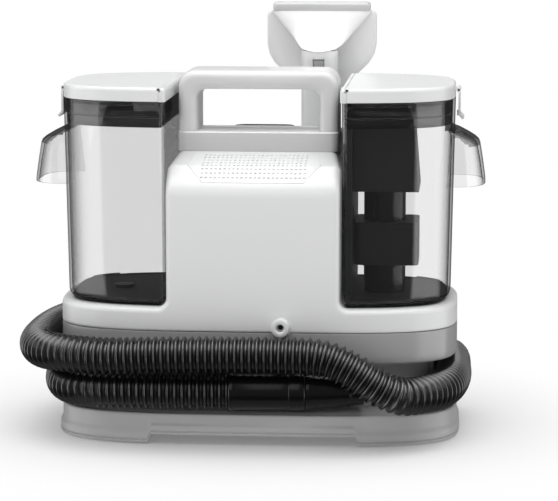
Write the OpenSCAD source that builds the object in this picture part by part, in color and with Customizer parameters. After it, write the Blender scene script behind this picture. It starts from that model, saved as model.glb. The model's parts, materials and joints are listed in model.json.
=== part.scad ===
// Spot carpet cleaner: two lift-out tanks stand either side of a motor column,
// the suction hose is wound round the base, and the hand tool stands in a socket at the back.
// X runs to the right, Y to the back and Z up. All lengths are millimetres.

/* [Body] */
// Width of the belt that carries the tanks
body_w = 370; // [364:1:372]
// Depth of the belt, front to back
body_d = 200; // [196:1:201]
// Squareness of the plan outline, where 2 is an ellipse
outline_power = 3.65; // [3.4:0.05:3.9]
// How far the foot skirt flares past the belt
foot_flare = 2.9; // [1:0.1:4]
// Height of the ledge that the hose lies on
ledge_z = 32; // [31:0.5:32]
// Bottom of the grey belt, which is the top of the hose groove
belt_z = 76.4; // [75:0.2:78]
// Height where the grey belt meets the white shell
split_z = 105.5; // [100:0.5:108]
// Height of the deck that the tanks stand on
deck_z = 127; // [125:0.5:127]
// How far the waist is set in from the belt
waist_inset = 25; // [22:1:30]
// Wall of the moulded shells
wall = 2.5; // [2:0.1:3]
// Half the width of the arch between the two front feet
arch_half = 91; // [80:1:96]

/* [Column and handle] */
// Half the width of the column between the tanks
column_half = 79; // [77:0.5:79]
// Height of the column's roof
roof_z = 264; // [260:1:266]
// Top of the collar under the handle
collar_top = 282; // [280:1:284]
// Top of the carrying handle
handle_top = 338.5; // [334:0.5:340]
// Depth of the handle, front to back
handle_depth = 62; // [50:1:62]
// Thickness of the handle's bar and posts
handle_bar = 17.5; // [14:0.5:19]
// Columns of holes in the front vent
vent_columns = 24; // [12:2:24]
// Rows of holes in the front vent
vent_rows = 8; // [4:1:8]

/* [Tanks] */
// Height of the tank wall's top edge
tank_top = 313.9; // [311:0.1:314]
// How far the tank's foot is set in from the belt
tank_foot_inset = 6.6; // [5:0.1:8]
// How far the tank's mouth is set in from the belt
tank_mouth_inset = 3.2; // [2.8:0.1:4]
// Wall of the clear tanks
tank_wall = 2.5; // [2:0.1:3]
// Thickness of the lids
lid_h = 13.1; // [12:0.1:14]
// How far a finger grip stands out past the belt
grip_reach = 25.5; // [20:0.5:29]
// Radius of the separator's standing tube
separator_r = 19.5; // [17:0.5:20]
// Half the width of a finger grip at its foot
grip_half = 48; // [40:1:52]
// How far the float can rise
float_travel = 28; // [20:1:28]

/* [Hose and tool] */
// Outer diameter of the suction hose
hose_d = 35; // [33:0.5:35]
// Outer radius of the tool's neck
neck_r = 17.4; // [16:0.2:17.6]
// Width of the tool's nozzle plate
nozzle_w = 106; // [100:1:108]
// Radius of the water port's bore
port_bore_r = 3.4; // [2.5:0.1:4]

/* [Clearances] */
// Gap between a sliding or lifting piece and its neighbour
slide_gap = 0.4; // [0.35:0.05:0.6]
// Radial clearance of a pin or shaft that turns in its bore
running_fit = 0.05; // [0.02:0.01:0.08]

/* [Hidden] */
body_y = -15;
collar_half = column_half - 4.5;
outline_steps = 72;
side_w = body_w / 2;
half_d = body_d / 2;
skirt_z = 1.5;
rim_z = 27;
pan_floor = 8;
pan_plate = 2.5;
belt_plate = 3;
belt_round = 5.5;
belt_round_z = deck_z - 8;
collar_front = -38;
collar_back = 62;
shoulder_z = 228;
platform_back = 27;
deck_step = 3;
panel_t = 2;
vent_low = 22;
vent_high = 86;
vent_low_half = 47;
vent_high_half = 62;
hole_r = 1.1;
button_y = 42;
button_w = 52;
button_d = 18;
button_travel = 2;
duct_y = 35;
water_z = 205;
air_z = 222;
port_x = 26;
port_z = 110.7;
port_r = 8.3;
port_len = 8;
pump_y = -half_d + 40;
motor_y = 20;
shaft_r = 4;
fan_r = half_d - 50;
volute_r = fan_r + 10;
motor_r = fan_r - 8;
fan_z = 86;
tank_z = deck_z + slide_gap;
tank_in = column_half + 1.5;
tank_round = 8;
hinge_x = tank_in + 4.5;
rail_in = collar_half + 2.2;
rail_out = hinge_x - slide_gap;
knuckle_r = 1.8;
pin_r = 1.1;
hinge_z = tank_top + lid_h - knuckle_r;
lid_x = hinge_x + slide_gap;
lid_bottom = tank_top + 0.3;
lid_edge_z = tank_top + lid_h - 3.9;
lid_top = tank_top + lid_h;
liner_low = tank_top - 23.4;
grip_low = tank_top - 79.9;
latch_x = side_w - tank_mouth_inset + knuckle_r + 0.8;
latch_z = lid_bottom + 6;
latch_half = 15;
separator_x = tank_in + 36;
channel_out = tank_in + tank_wall + 5.4;
float_low = 158;
float_high = 198;
housing_low = 228;
valve_x = 130;
valve_r = 7;
neck_r_in = 14;
tool_x = 50;
tool_y = 78;
tool_foot = 203;
tool_socket_r = neck_r + 3;
mouth_y = 118;
mouth_z = 386;
neck_top = mouth_z - 40;
trigger_y = tool_y + neck_r + 2.6;
trigger_z = neck_top - 36;
// Right edge of the nozzle plate, from its foot upwards, set in from its corner and below the mouth
plate_edge = [[33, -75], [22, -65], [7, -50.5], [2, -42], [0, -32], [0, -0.5]];
hook_x = -45;
outlet_z = 88;
outlet_y = half_d + 19;
outlet_x = 60;
duct_in = column_half - 21;
float_out = separator_x + 32;
screw_r = 3;
cuff_len = 68;
grip_len = 54;
grip_turn = 4.6;
grip_bore_r = 11;

// Middle of the hose: from the outlet along the back, round the left and across the front,
// down at the right, once more round the back and left, and to the grip at the front
hose_route = [[32, 104, 88], [0, 104, 88], [-60, 104, 88], [-120, 102, 88], [-164, 89, 87],
    [-190, 62, 86], [-202, 28, 85], [-206, -20, 85], [-205, -64, 84], [-193, -98, 84],
    [-168, -120, 85], [-130, -131, 85], [-80, -134, 87], [-20, -134, 88], [34, -134, 88],
    [66, -135, 86], [92, -136, 75], [114, -134, 61], [136, -127, 51], [158, -108, 50],
    [174, -80, 50], [181, -40, 52], [181, 10, 53], [178, 50, 55], [160, 72, 54],
    [125, 80, 52], [60, 84, 52], [0, 84, 52], [-60, 84, 52], [-120, 80, 52],
    [-158, 66, 52], [-177, 40, 52], [-183, 0, 52], [-183, -50, 51], [-172, -88, 50],
    [-146, -109, 51], [-104, -117, 52], [-62, -118, 52], [-20, -115, 52]];

white = "#f2f3f4";
grey = "#b9bbbe";
pale_grey = "#dcdddf";
dark = "#2b2c2f";
black = "#18191b";
clear = [0.75, 0.77, 0.8, 0.35];
smoky = [0.45, 0.47, 0.5, 0.4];
metal = "#b8bcc0";

// ---- shared shapes ----

function signed_pow(v, e) = v < 0 ? -pow(-v, e) : pow(v, e);
function outline(inset) = [for (i = [0 : outline_steps - 1]) let (a = 360 * i / outline_steps)
    [(side_w - inset) * signed_pow(cos(a), 2 / outline_power),
     (half_d - inset) * signed_pow(sin(a), 2 / outline_power)]];

module at_body() { translate([0, body_y, 0]) children(); }

// Right-hand shapes are drawn once and mirrored for the left
module on_side(side) { mirror([side < 0 ? 1 : 0, 0, 0]) children(); }

// Straight block with the body's plan outline
module plan(inset, z0, z1) { translate([0, 0, z0]) linear_extrude(z1 - z0) polygon(outline(inset)); }

// Block whose plan outline narrows or widens evenly from z0 to z1
module plan_taper(inset0, z0, inset1, z1) {
    translate([0, 0, z0])
        linear_extrude(z1 - z0, scale = [(side_w - inset1) / (side_w - inset0),
            (half_d - inset1) / (half_d - inset0)], slices = 1) polygon(outline(inset0));
}

// Profile in X and Z, run from front to back
module run_y(y0, y1) { translate([0, y1, 0]) rotate([90, 0, 0]) linear_extrude(y1 - y0) children(); }

// Profile in Y and Z, run from left to right
module run_x(x0, x1) { translate([x0, 0, 0]) rotate([90, 0, 90]) linear_extrude(x1 - x0) children(); }

module box(x0, x1, y0, y1, z0, z1) { translate([x0, y0, z0]) cube([x1 - x0, y1 - y0, z1 - z0]); }

module post(x, y, z0, z1, r) { translate([x, y, z0]) cylinder(h = z1 - z0, r = r, $fn = 64); }

module rod_y(x, z, y0, y1, r) {
    translate([x, y0, z]) rotate([-90, 0, 0]) cylinder(h = y1 - y0, r = r, $fn = 48);
}

module rod_x(y, z, x0, x1, r) {
    translate([x0, y, z]) rotate([0, 90, 0]) cylinder(h = x1 - x0, r = r, $fn = 48);
}

module round_rect(x0, x1, y0, y1, r) {
    translate([x0 + r, y0]) square([x1 - x0 - 2 * r, y1 - y0]);
    translate([x0, y0 + r]) square([x1 - x0, y1 - y0 - 2 * r]);
    for (x = [x0 + r, x1 - r], y = [y0 + r, y1 - r]) translate([x, y]) circle(r, $fn = 48);
}

// Flat oval with straight long sides, centred on the button
module stadium(w, d) { round_rect(-w / 2, w / 2, button_y - d / 2, button_y + d / 2, d / 2 - 0.01); }

// Side view of the column: upright faces that curve over into the flat roof
function column_side(inset, z0) = concat([[-half_d + inset, z0]],
    [for (t = [0 : 9 : 90]) [collar_front - (half_d + collar_front - inset) * cos(t),
        shoulder_z + (roof_z - inset - shoulder_z) * sin(t)]],
    [for (t = [90 : -9 : 0]) [collar_back + (half_d - collar_back - inset) * cos(t),
        shoulder_z + (roof_z - inset - shoulder_z) * sin(t)]],
    [[half_d - inset, z0]]);

module column(inset, z0) {
    half = column_half - inset;
    top = roof_z - inset;
    intersection() {
        plan(inset, z0, roof_z + 1);
        run_x(-side_w, side_w) polygon(column_side(inset, z0));
        run_y(-half_d - 1, half_d + 1) polygon([[-half, z0], [half, z0], [half, top - 8],
            [half - 1.5, top - 3], [half - 4, top], [-half + 4, top],
            [-half + 1.5, top - 3], [-half, top - 8]]);
    }
}

module front_half() { box(-side_w - 9, side_w + 9, -body_d, 0, -1, 400); }

module back_half() { box(-side_w - 9, side_w + 9, 0, body_d, -1, 400); }

// ---- base ----

module base_pan() color(pale_grey) at_body() difference() {
    union() {
        plan_taper(-foot_flare, skirt_z, -0.6, rim_z);
        plan_taper(-0.6, rim_z - 0.5, 2.5, ledge_z);
    }
    plan(wall + 2, pan_floor + pan_plate, ledge_z - wall);
    plan(waist_inset + wall, ledge_z - wall - 1, ledge_z + 1);
    for (side = [-1, 1]) on_side(side) intersection() {
        plan(wall, -1, pan_floor);
        box(arch_half + wall, side_w, -half_d, half_d, -1, pan_floor);
    }
    box(-arch_half, arch_half, -body_d, body_d, -1, pan_floor);
}

module rubber_feet() color(black) at_body()
    for (x = [-1, 1] * (side_w - 35), y = [-1, 1] * (half_d - 42)) post(x, y, 0, pan_floor, 9);

module lower_housing() color(grey) at_body() difference() {
    union() {
        plan(waist_inset, ledge_z, belt_z + 1);
        plan(0, belt_z, split_z);
    }
    plan(waist_inset + wall, ledge_z - 1, belt_z);
    plan(wall, belt_z + belt_plate, split_z + 1);
    rod_y(port_x, port_z, -half_d - 5, -half_d + 6, port_r + 0.2);
    rod_y(outlet_x, outlet_z, half_d - 10, half_d + 5, 16);
}

module deck_shell() color(white) at_body() difference() {
    union() {
        plan(0, split_z, belt_round_z);
        plan_taper(0, belt_round_z, belt_round, deck_z);
    }
    plan(wall + 3.5, split_z - 1, deck_z - wall);
    plan(wall, split_z - 1, belt_round_z - 1);
    box(-column_half, column_half, -body_d, body_d, belt_round_z - 1, deck_z + 1);
    rod_y(port_x, port_z, -half_d - 5, -half_d + 6, port_r + 0.2);
    post(-valve_x, 0, split_z, deck_z + 1, 14);
}

module front_cover() color(white) at_body() difference() {
    intersection() {
        column(0, belt_round_z - 1);
        front_half();
    }
    column(wall, belt_round_z - 2);
    intersection() {
        vent_zone();
        front_half();
    }
    rod_y(port_x, port_z, -half_d - 5, -half_d + 6, port_r + 0.2);
    port_holes();
}

module rear_housing() color(white) at_body() difference() {
    union() {
        intersection() {
            column(0, belt_round_z - 1);
            back_half();
        }
        lower_hook();
    }
    column(wall, belt_round_z - 2);
    grille_zone();
    post(tool_x, tool_y, 150, roof_z + 1, tool_socket_r);
    box(-10, 10, button_y - 6, button_y + 6, roof_z - 5, roof_z + 1);
    rod_y(-68, 150, half_d - 10, half_d + 5, 6);
    rod_y(hook_x, 236, half_d - 10, half_d + 5, 4);
    port_holes();
}

// Round holes in the column's right wall, one for dirty water and one for air
module port_holes() {
    rod_x(-duct_y, water_z, column_half - wall - 3.5, column_half + 2, 11);
    rod_x(duct_y, air_z, column_half - wall - 3.5, column_half + 2, 13);
}

module collar() color(grey) at_body() difference() {
    union() {
        translate([0, 0, roof_z]) linear_extrude(collar_top - deck_step - roof_z)
            round_rect(-collar_half, collar_half, collar_front, collar_back, 8);
        intersection() {
            translate([0, 0, roof_z]) linear_extrude(collar_top - roof_z)
                round_rect(-collar_half, collar_half, collar_front, collar_back, 8);
            box(-body_w, body_w, -body_d, platform_back, roof_z, collar_top);
        }
    }
    translate([0, 0, roof_z - 1]) linear_extrude(collar_top - deck_step - 3 - roof_z + 1)
        round_rect(-collar_half + 3, collar_half - 3, collar_front + 3, collar_back - 3, 5);
    translate([0, 0, roof_z]) linear_extrude(40) stadium(button_w + 5, button_d + 5);
    post(tool_x, tool_y, roof_z - 1, collar_top, tool_socket_r);
}

module carry_handle() color(pale_grey) at_body()
    run_y(collar_front + 2, collar_front + 2 + handle_depth) difference() {
        union() {
            translate([-collar_half + 0.5, collar_top])
                square([2 * collar_half - 1, handle_top - collar_top - 15]);
            round_rect(-collar_half + 0.5, collar_half - 0.5, handle_top - 40, handle_top, 15);
        }
        translate([-collar_half + handle_bar, collar_top - 1])
            square([2 * (collar_half - handle_bar), handle_top - handle_bar - collar_top - 4]);
        round_rect(-collar_half + handle_bar, collar_half - handle_bar,
            handle_top - handle_bar - 20, handle_top - handle_bar, 5);
    }

// Upright prism over the sloping shoulder, narrower at the front
module vent_zone() {
    y_low = collar_front - (half_d + collar_front) * cos(vent_low);
    y_high = collar_front - (half_d + collar_front) * cos(vent_high);
    translate([0, 0, shoulder_z]) linear_extrude(60) polygon([[-vent_low_half, y_low],
        [vent_low_half, y_low], [vent_high_half, y_high], [-vent_high_half, y_high]]);
}

module vent_panel() color(white) at_body() difference() {
    intersection() {
        difference() {
            column(0, shoulder_z);
            column(panel_t, shoulder_z - 1);
        }
        vent_zone();
        front_half();
    }
    for (row = [0 : vent_rows - 1], i = [0 : vent_columns - 1]) {
        t = vent_low + 7 + row * (vent_high - vent_low - 14) / max(1, vent_rows - 1);
        a = half_d + collar_front;
        b = roof_z - shoulder_z;
        translate([(i - (vent_columns - 1) / 2) * 93.4 / (vent_columns - 1),
            collar_front - a * cos(t), shoulder_z + b * sin(t)])
            rotate([atan2(b * cos(t), a * sin(t)), 0, 0])
                translate([0, 0, -4]) cylinder(h = 8, r = hole_r, $fn = 16);
    }
}

module grille_zone() { box(-50, 50, half_d - 12, half_d + 5, 130, 166); }

module exhaust_grille() color(grey) at_body() difference() {
    intersection() {
        difference() {
            column(0, deck_z);
            column(wall, deck_z - 1);
        }
        grille_zone();
    }
    for (i = [-7 : 7]) box(i * 6.2 - 1.6, i * 6.2 + 1.6, half_d - 12, half_d + 5, 134, 162);
}

module exhaust_filter() color(dark) at_body() box(-46, 46, half_d - 18, half_d - wall - 0.5, 132, 164);

// ---- switch and water port ----

module button_bezel() color(dark) at_body() difference() {
    translate([0, 0, collar_top - deck_step - 3]) linear_extrude(3.8) stadium(button_w + 5, button_d + 5);
    translate([0, 0, collar_top - deck_step - 4]) linear_extrude(6)
        stadium(button_w + 2 * slide_gap, button_d + 2 * slide_gap);
}

module power_button() color(black) at_body() {
    translate([0, 0, collar_top - deck_step - 2]) linear_extrude(3.4) stadium(button_w, button_d);
    post(0, button_y, roof_z + 4.4, collar_top - deck_step - 2, 3);
}

module power_switch() color(dark) at_body()
    box(-10, 10, button_y - 6, button_y + 6, roof_z - 14, roof_z + 1.8);

module water_port() color(white) at_body() difference() {
    union() {
        rod_y(port_x, port_z, -half_d - port_len, -half_d + 5, port_r);
        rod_y(port_x, port_z, -half_d + wall + 0.3, -half_d + 5, port_r + 3);
    }
    rod_y(port_x, port_z, -half_d - port_len - 1, -half_d + 2, port_bore_r);
}

// ---- pump, motor and air path ----

module pump_body() color(dark) at_body() difference() {
    box(-70, -10, pump_y - 16, pump_y + 16, belt_z + belt_plate, belt_z + belt_plate + 34);
    rod_x(pump_y, belt_z + 20, -40, 0, 8 + running_fit);
}

module pump_plunger() color(metal) at_body() {
    rod_x(pump_y, belt_z + 20, -36, -4, 8);
    rod_x(pump_y, belt_z + 20, -4, 0, 11);
}

module motor_mount() color(black) at_body() difference() {
    post(0, motor_y, belt_z + belt_plate, belt_z + belt_plate + 3, volute_r);
    post(0, motor_y, belt_z + belt_plate - 1, belt_z + belt_plate + 4, 40);
}

module fan_housing() color(dark) at_body() difference() {
    post(0, motor_y, belt_z + belt_plate + 3, 112, volute_r);
    post(0, motor_y, belt_z + belt_plate + 5, 109, fan_r + 6);
    post(0, motor_y, 100, 115, 18);
    rod_y(0, 98, motor_y + fan_r - 10, motor_y + volute_r + 10, 7);
}

module fan_impeller() color(metal) at_body() difference() {
    union() {
        post(0, motor_y, fan_z, fan_z + 2, fan_r);
        post(0, motor_y, fan_z, fan_z + 18, 12);
        post(0, motor_y, fan_z + 18, 150, shaft_r);
        for (a = [0 : 40 : 320]) translate([0, motor_y, fan_z]) rotate([0, 0, a])
            translate([10, -0.8, 1]) cube([fan_r - 12, 1.6, 15]);
    }
    post(0, motor_y, fan_z - 1, fan_z + 6, 3);
}

module vacuum_motor() color(metal) at_body() difference() {
    union() {
        post(0, motor_y, 112, 124, motor_r + 8);
        post(0, motor_y, 124, 186, motor_r);
        post(0, motor_y, 186, 194, 16);
    }
    post(0, motor_y, 111, 125, 14);
    post(0, motor_y, 120, 152, shaft_r + running_fit);
}

module air_duct() color(dark) at_body() difference() {
    box(duct_in, column_half - wall, duct_y - 17, duct_y + 17, 135, air_z + 18);
    box(duct_in + 2.5, column_half - wall - 2.5, duct_y - 14.5, duct_y + 14.5, 134, air_z + 15.5);
    rod_x(duct_y, air_z, column_half - wall - 5, column_half, 11);
}

module control_board() color("#2f6b45") at_body() {
    box(-38, 38, -half_d + 8, -half_d + 9.6, 150, 205);
    for (x = [-26, -8, 14]) rod_y(x, 176, -half_d + 9.6, -half_d + 22, 6);
    box(22, 34, -half_d + 9.6, -half_d + 19, 160, 190);
    box(-38, 38, -half_d + wall + 0.3, -half_d + 8, 150, 153);
}

module clean_dock() color(dark) at_body() {
    difference() {
        post(-valve_x, 0, split_z, deck_z - 0.4, 14);
        post(-valve_x, 0, split_z + 3, deck_z + 1, 11);
    }
    post(-valve_x, 0, split_z + 3, deck_z - 5, 2);
}

module tank_gaskets() color(black) at_body() {
    difference() {
        rod_x(-duct_y, water_z, column_half, tank_in - slide_gap, 14);
        rod_x(-duct_y, water_z, column_half - 1, tank_in, 11);
    }
    difference() {
        rod_x(duct_y, air_z, column_half, tank_in - slide_gap, 16);
        rod_x(duct_y, air_z, column_half - 1, tank_in, 13);
    }
}

// ---- back of the machine ----

module hose_outlet() color(dark) at_body() difference() {
    union() {
        rod_y(outlet_x, outlet_z, half_d + 0.2, outlet_y, 18);
        translate([outlet_x, outlet_y, outlet_z]) sphere(r = 18.4, $fn = 64);
        rod_x(outlet_y, outlet_z, outlet_x - 28, outlet_x, 17.6);
        rod_x(outlet_y, outlet_z, outlet_x - 28, outlet_x - 20, 18.6);
    }
    rod_y(outlet_x, outlet_z, half_d - 1, outlet_y, 14);
    rod_x(outlet_y, outlet_z, outlet_x - 30, outlet_x, 14);
}

module cord_gland() color(black) at_body() difference() {
    union() {
        rod_y(-68, 150, half_d - 4, half_d + 0.5, 6);
        rod_y(-68, 150, half_d + 0.5, half_d + 3, 9);
        rod_y(-68, 150, half_d + 3, half_d + 14, 5.5);
    }
    rod_y(-68, 150, half_d - 5, half_d + 15, 3);
}

module hook_arm(up) {
    box(hook_x - 8, hook_x + 8, half_d + 20, half_d + 24, up ? -8 : -26, up ? 26 : 8);
}

// Fixed hook, moulded on the rear housing
module lower_hook() translate([0, 0, 184]) {
    rod_y(hook_x, 0, half_d - 3, half_d + 20, 7);
    hook_arm(false);
}

module upper_cord_hook() color(grey) at_body() translate([0, 0, 236]) {
    rod_y(hook_x, 0, half_d - 6, half_d + 0.6, 4 - running_fit);
    rod_y(hook_x, 0, half_d + 0.6, half_d + 20, 7);
    hook_arm(true);
}

module tool_socket() color(dark) at_body() difference() {
    post(tool_x, tool_y, tool_foot - 4, 262, tool_socket_r);
    post(tool_x, tool_y, tool_foot - slide_gap, 270, neck_r + slide_gap);
    post(tool_x, tool_y, tool_foot - 9, 270, 10);
}

module screw(x, y, z) { post(x, y, z, z + 2, screw_r); }

module housing_screws() color(metal) at_body() {
    for (x = [-1, 1] * (side_w - 65), y = [-1, 1] * (half_d - 60))
        post(x, y, pan_floor - 3, pan_floor, screw_r);
    for (x = [-1, 1] * 66, y = [-24, 14]) post(x, y, roof_z, roof_z + 4, screw_r);
}

// ---- tanks ----

// Solid of one right-hand tank, set in by e on every face and open upwards when e is above 0
module tank_block(e) {
    r = tank_round - min(e, 4);
    x0 = tank_in + e;
    z0 = tank_z + e;
    top = tank_top + (e > 0 ? 1 : 0);
    rise = (tank_foot_inset - tank_mouth_inset) / (tank_top - tank_z);
    intersection() {
        plan_taper(tank_foot_inset + e, tank_z, tank_mouth_inset + e - rise * (top - tank_top), top);
        run_y(-half_d, half_d) polygon(concat(
            [for (a = [180 : 15 : 270]) [x0 + r + r * cos(a), z0 + r + r * sin(a)]],
            [[side_w, z0], [side_w, top], [x0, top]]));
    }
}

module tank(side) difference() {
    union() {
        tank_block(0);
        // bead that the latch hooks under
        difference() {
            box(side_w - 8, latch_x - 1.8, -latch_half + 2, latch_half - 2, 300, 303);
            tank_block(0);
        }
        if (side < 0) post(valve_x, 0, tank_z - 7, tank_z + 4, 10);
    }
    tank_block(tank_wall);
    if (side < 0) post(valve_x, 0, tank_z - 8, tank_z + 5, valve_r);
    if (side > 0) {
        rod_x(-duct_y, water_z, tank_in - 1, tank_in + tank_wall + 1.5, 11);
        rod_x(duct_y, air_z, tank_in - 1, tank_in + tank_wall + 1.5, 13);
    }
}

// Scoop-shaped finger grip, open underneath
module grip_form(e) {
    hull() for (s = [-1, 1]) {
        translate([side_w - 13, s * (grip_half - 7 - e), grip_low + 48 - e]) cylinder(h = 4, r = 4, $fn = 32);
        translate([side_w + grip_reach - 18 - e, s * (grip_half - 20 - e / 2), grip_low + 38 - e])
            cylinder(h = 2, r = 12, $fn = 32);
        translate([side_w + grip_reach - 14 - e, s * (grip_half - 16 - e / 2), grip_low + 4 - e])
            cylinder(h = 1, r = 14, $fn = 32);
        translate([side_w - 13, s * (grip_half - e), grip_low - e]) cylinder(h = 1, r = 4, $fn = 32);
    }
}

module grip() difference() {
    grip_form(0);
    grip_form(2.4);
    tank_block(0);
    box(side_w - 25, side_w + grip_reach + 20, -half_d, half_d, grip_low - 14, grip_low + 0.2);
}

module liner() difference() {
    intersection() {
        tank_block(tank_wall);
        box(0, side_w, -half_d, half_d, liner_low, tank_top - 3.5);
    }
    tank_block(tank_wall + 2);
}

module rail() difference() {
    union() {
        difference() {
            intersection() {
                union() {
                    plan(tank_mouth_inset, tank_top, lid_edge_z);
                    plan_taper(tank_mouth_inset, lid_edge_z, tank_mouth_inset + 1.6, lid_top);
                }
                box(rail_in, rail_out, -half_d, half_d, tank_top, lid_top);
            }
            // room for the edge of the lid as it turns
            box(hinge_x - knuckle_r - slide_gap, hinge_x, -half_d, half_d, hinge_z, lid_top + 1);
        }
        for (s = [-1, 1]) rod_y(hinge_x, hinge_z, s > 0 ? 20.4 : -32, s > 0 ? 32 : -20.4, knuckle_r);
    }
    rod_y(hinge_x, hinge_z, -20.4, 20.4, knuckle_r + slide_gap);
    rod_y(hinge_x, hinge_z, -30, 30, pin_r);
}

module hinge_pin() { rod_y(hinge_x, hinge_z, -30, 30, pin_r); }

module lid() difference() {
    union() {
        intersection() {
            union() {
                plan(tank_mouth_inset, lid_bottom, lid_edge_z);
                plan_taper(tank_mouth_inset, lid_edge_z, tank_mouth_inset + 1.6, lid_top);
            }
            box(lid_x, side_w, -half_d, half_d, lid_bottom, lid_top);
        }
        rod_y(hinge_x, hinge_z, -20, 20, knuckle_r);
        for (s = [-1, 1]) latch_ear(s);
    }
    intersection() {
        plan(tank_mouth_inset + 3, lid_bottom - 1, lid_top - 3);
        box(lid_x + 3, side_w, -half_d, half_d, lid_bottom - 1, lid_top - 3);
    }
    for (s = [-1, 1]) rod_y(hinge_x, hinge_z, s > 0 ? 20 : -32.4, s > 0 ? 32.4 : -20, knuckle_r + slide_gap);
    rod_y(hinge_x, hinge_z, -21, 21, pin_r + running_fit);
    rod_y(latch_x, latch_z, -latch_half - 4.6, latch_half + 4.6, pin_r);
}

// Small ears on the lid's outer end that carry the latch
module latch_ear(s) {
    y0 = s > 0 ? latch_half + 0.4 : -latch_half - 3.4;
    rod_y(latch_x, latch_z, y0, y0 + 3, knuckle_r + 0.4);
    box(latch_x - 6, latch_x, y0, y0 + 3, latch_z - knuckle_r - 0.4, latch_z + knuckle_r + 0.4);
}

module latch() difference() {
    union() {
        rod_y(latch_x, latch_z, -latch_half, latch_half, knuckle_r + 0.4);
        box(latch_x - 0.2, latch_x + 1.8, -latch_half, latch_half, 297, latch_z);
        box(latch_x - 1.4, latch_x + 0.4, -latch_half + 3, latch_half - 3, 296.4, 299.6);
        run_y(-latch_half, latch_half) polygon([[latch_x - 0.2, 297.2], [latch_x + 1.8, 298.4],
            [latch_x + 5.4, 294.2], [latch_x + 3.6, 292.9]]);
    }
    rod_y(latch_x, latch_z, -latch_half - 1, latch_half + 1, pin_r + running_fit);
}

module seal() difference() {
    intersection() {
        plan(tank_mouth_inset + 3, tank_top - 1.6, lid_top - 3);
        box(lid_x + 3, side_w, -half_d, half_d, tank_top - 1.6, lid_top - 3);
    }
    intersection() {
        plan(tank_mouth_inset + 5.4, tank_top - 4, lid_top);
        box(lid_x + 5.4, side_w, -half_d, half_d, tank_top - 4, lid_top);
    }
}

module clean_tank() color(clear) at_body() on_side(-1) tank(-1);
module clean_grip() color(clear) at_body() on_side(-1) grip();
module clean_liner() color(dark) at_body() on_side(-1) liner();
module clean_rail() color(white) at_body() on_side(-1) rail();
module clean_hinge_pin() color(metal) at_body() on_side(-1) hinge_pin();
module clean_lid() color(white) at_body() on_side(-1) lid();
module clean_seal() color(black) at_body() on_side(-1) seal();
module clean_latch() color(white) at_body() on_side(-1) latch();

module clean_valve() color(dark) at_body() {
    post(-valve_x, 0, tank_z + tank_wall + 0.3, tank_z + tank_wall + 3.3, valve_r + 2.4);
    post(-valve_x, 0, deck_z - 4.4, tank_z + tank_wall + 0.3, 2.5);
}

module dirty_tank() color(smoky) at_body() tank(1);
module dirty_grip() color(smoky) at_body() grip();
module dirty_liner() color(dark) at_body() liner();
module dirty_rail() color(white) at_body() rail();
module dirty_hinge_pin() color(metal) at_body() hinge_pin();
module dirty_lid() color(white) at_body() lid();
module dirty_seal() color(black) at_body() seal();
module dirty_latch() color(white) at_body() latch();

// ---- separator ----

module separator_housing() color(dark) at_body() difference() {
    run_y(-42, 42) polygon([[channel_out + 0.3, housing_low], [float_out + 0.5, housing_low],
        [float_out - 4.5, liner_low - 0.1], [channel_out + 0.3, liner_low - 0.1]]);
    run_y(-39, 39) polygon([[channel_out + 3, housing_low + 2.5], [float_out - 2.5, housing_low + 2.5],
        [float_out - 7, liner_low - 3], [channel_out + 3, liner_low - 3]]);
    post(separator_x, 0, housing_low - 1, housing_low + 4, separator_r - 2.5);
    rod_x(35, 250, channel_out - 3, channel_out + 5, 2);
}

module separator_tube() color(black) at_body() difference() {
    union() {
        post(separator_x, 0, tank_z + tank_wall, housing_low, separator_r);
        post(separator_x, 0, float_low - 3, float_low - 0.4, separator_r + 4);
    }
    post(separator_x, 0, tank_z, housing_low + 1, separator_r - 2.5);
    box(separator_x - 30, separator_x + 30, -6, 6, tank_z, tank_z + 12);
}

module air_channel() color(dark) at_body() difference() {
    box(tank_in + tank_wall, channel_out, -64, 64, tank_z + tank_round, liner_low - 0.1);
    rod_x(-duct_y, water_z, tank_in, channel_out + 6, 11);
    rod_x(duct_y, air_z, tank_in, channel_out - 1.5, 13);
    box(tank_in + tank_wall + 1.5, channel_out - 1.5, 30, 40, 222, 254);
    rod_x(35, 250, channel_out - 2, channel_out + 1, 2);
}

module float() color(black) at_body() difference() {
    translate([0, 0, float_low]) linear_extrude(float_high - float_low)
        round_rect(channel_out + 0.6, float_out, -30, 30, 6);
    post(separator_x, 0, float_low - 1, float_high + 1, separator_r + slide_gap);
}

// ---- hand tool ----

module tool_neck() color(white) at_body() difference() {
    union() {
        post(tool_x, tool_y, tool_foot, neck_top, neck_r);
        for (x = [tool_x - 7.8, tool_x + 5]) box(x, x + 2.8, tool_y + neck_r - 3, trigger_y + 2.6,
            trigger_z - 3.5, trigger_z + 3.5);
    }
    post(tool_x, tool_y, tool_foot - 1, neck_top + 1, neck_r_in);
    box(tool_x - 6, tool_x + 6, tool_y - neck_r - 1, tool_y - neck_r_in + 1,
        neck_top - 16, neck_top - 7);
    rod_x(trigger_y, trigger_z, tool_x - 8, tool_x + 8, pin_r + running_fit);
}

// Neck that leans back, then widens into a flat fan behind the tanks
module nozzle_form(e) {
    hull() {
        post(tool_x, tool_y, neck_top - (e > 0 ? 1 : 0), neck_top + 5, neck_r - e);
        box(tool_x - 22 + e, tool_x + 22 - e, mouth_y - 15 + e, mouth_y + 12 - e, mouth_z - 28, mouth_z - 24);
    }
    hull() {
        box(tool_x - 22 + e, tool_x + 22 - e, mouth_y - 15 + e, mouth_y + 12 - e, mouth_z - 28, mouth_z - 24);
        box(tool_x - nozzle_w / 2 + 4.5 + e, tool_x + nozzle_w / 2 - 4.5 - e,
            mouth_y - 15 + e, mouth_y + 12 - e, mouth_z - 3, mouth_z + (e > 0 ? 1 : 0));
    }
}

module tool_nozzle() color(white) at_body() difference() {
    nozzle_form(0);
    nozzle_form(3);
}

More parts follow.
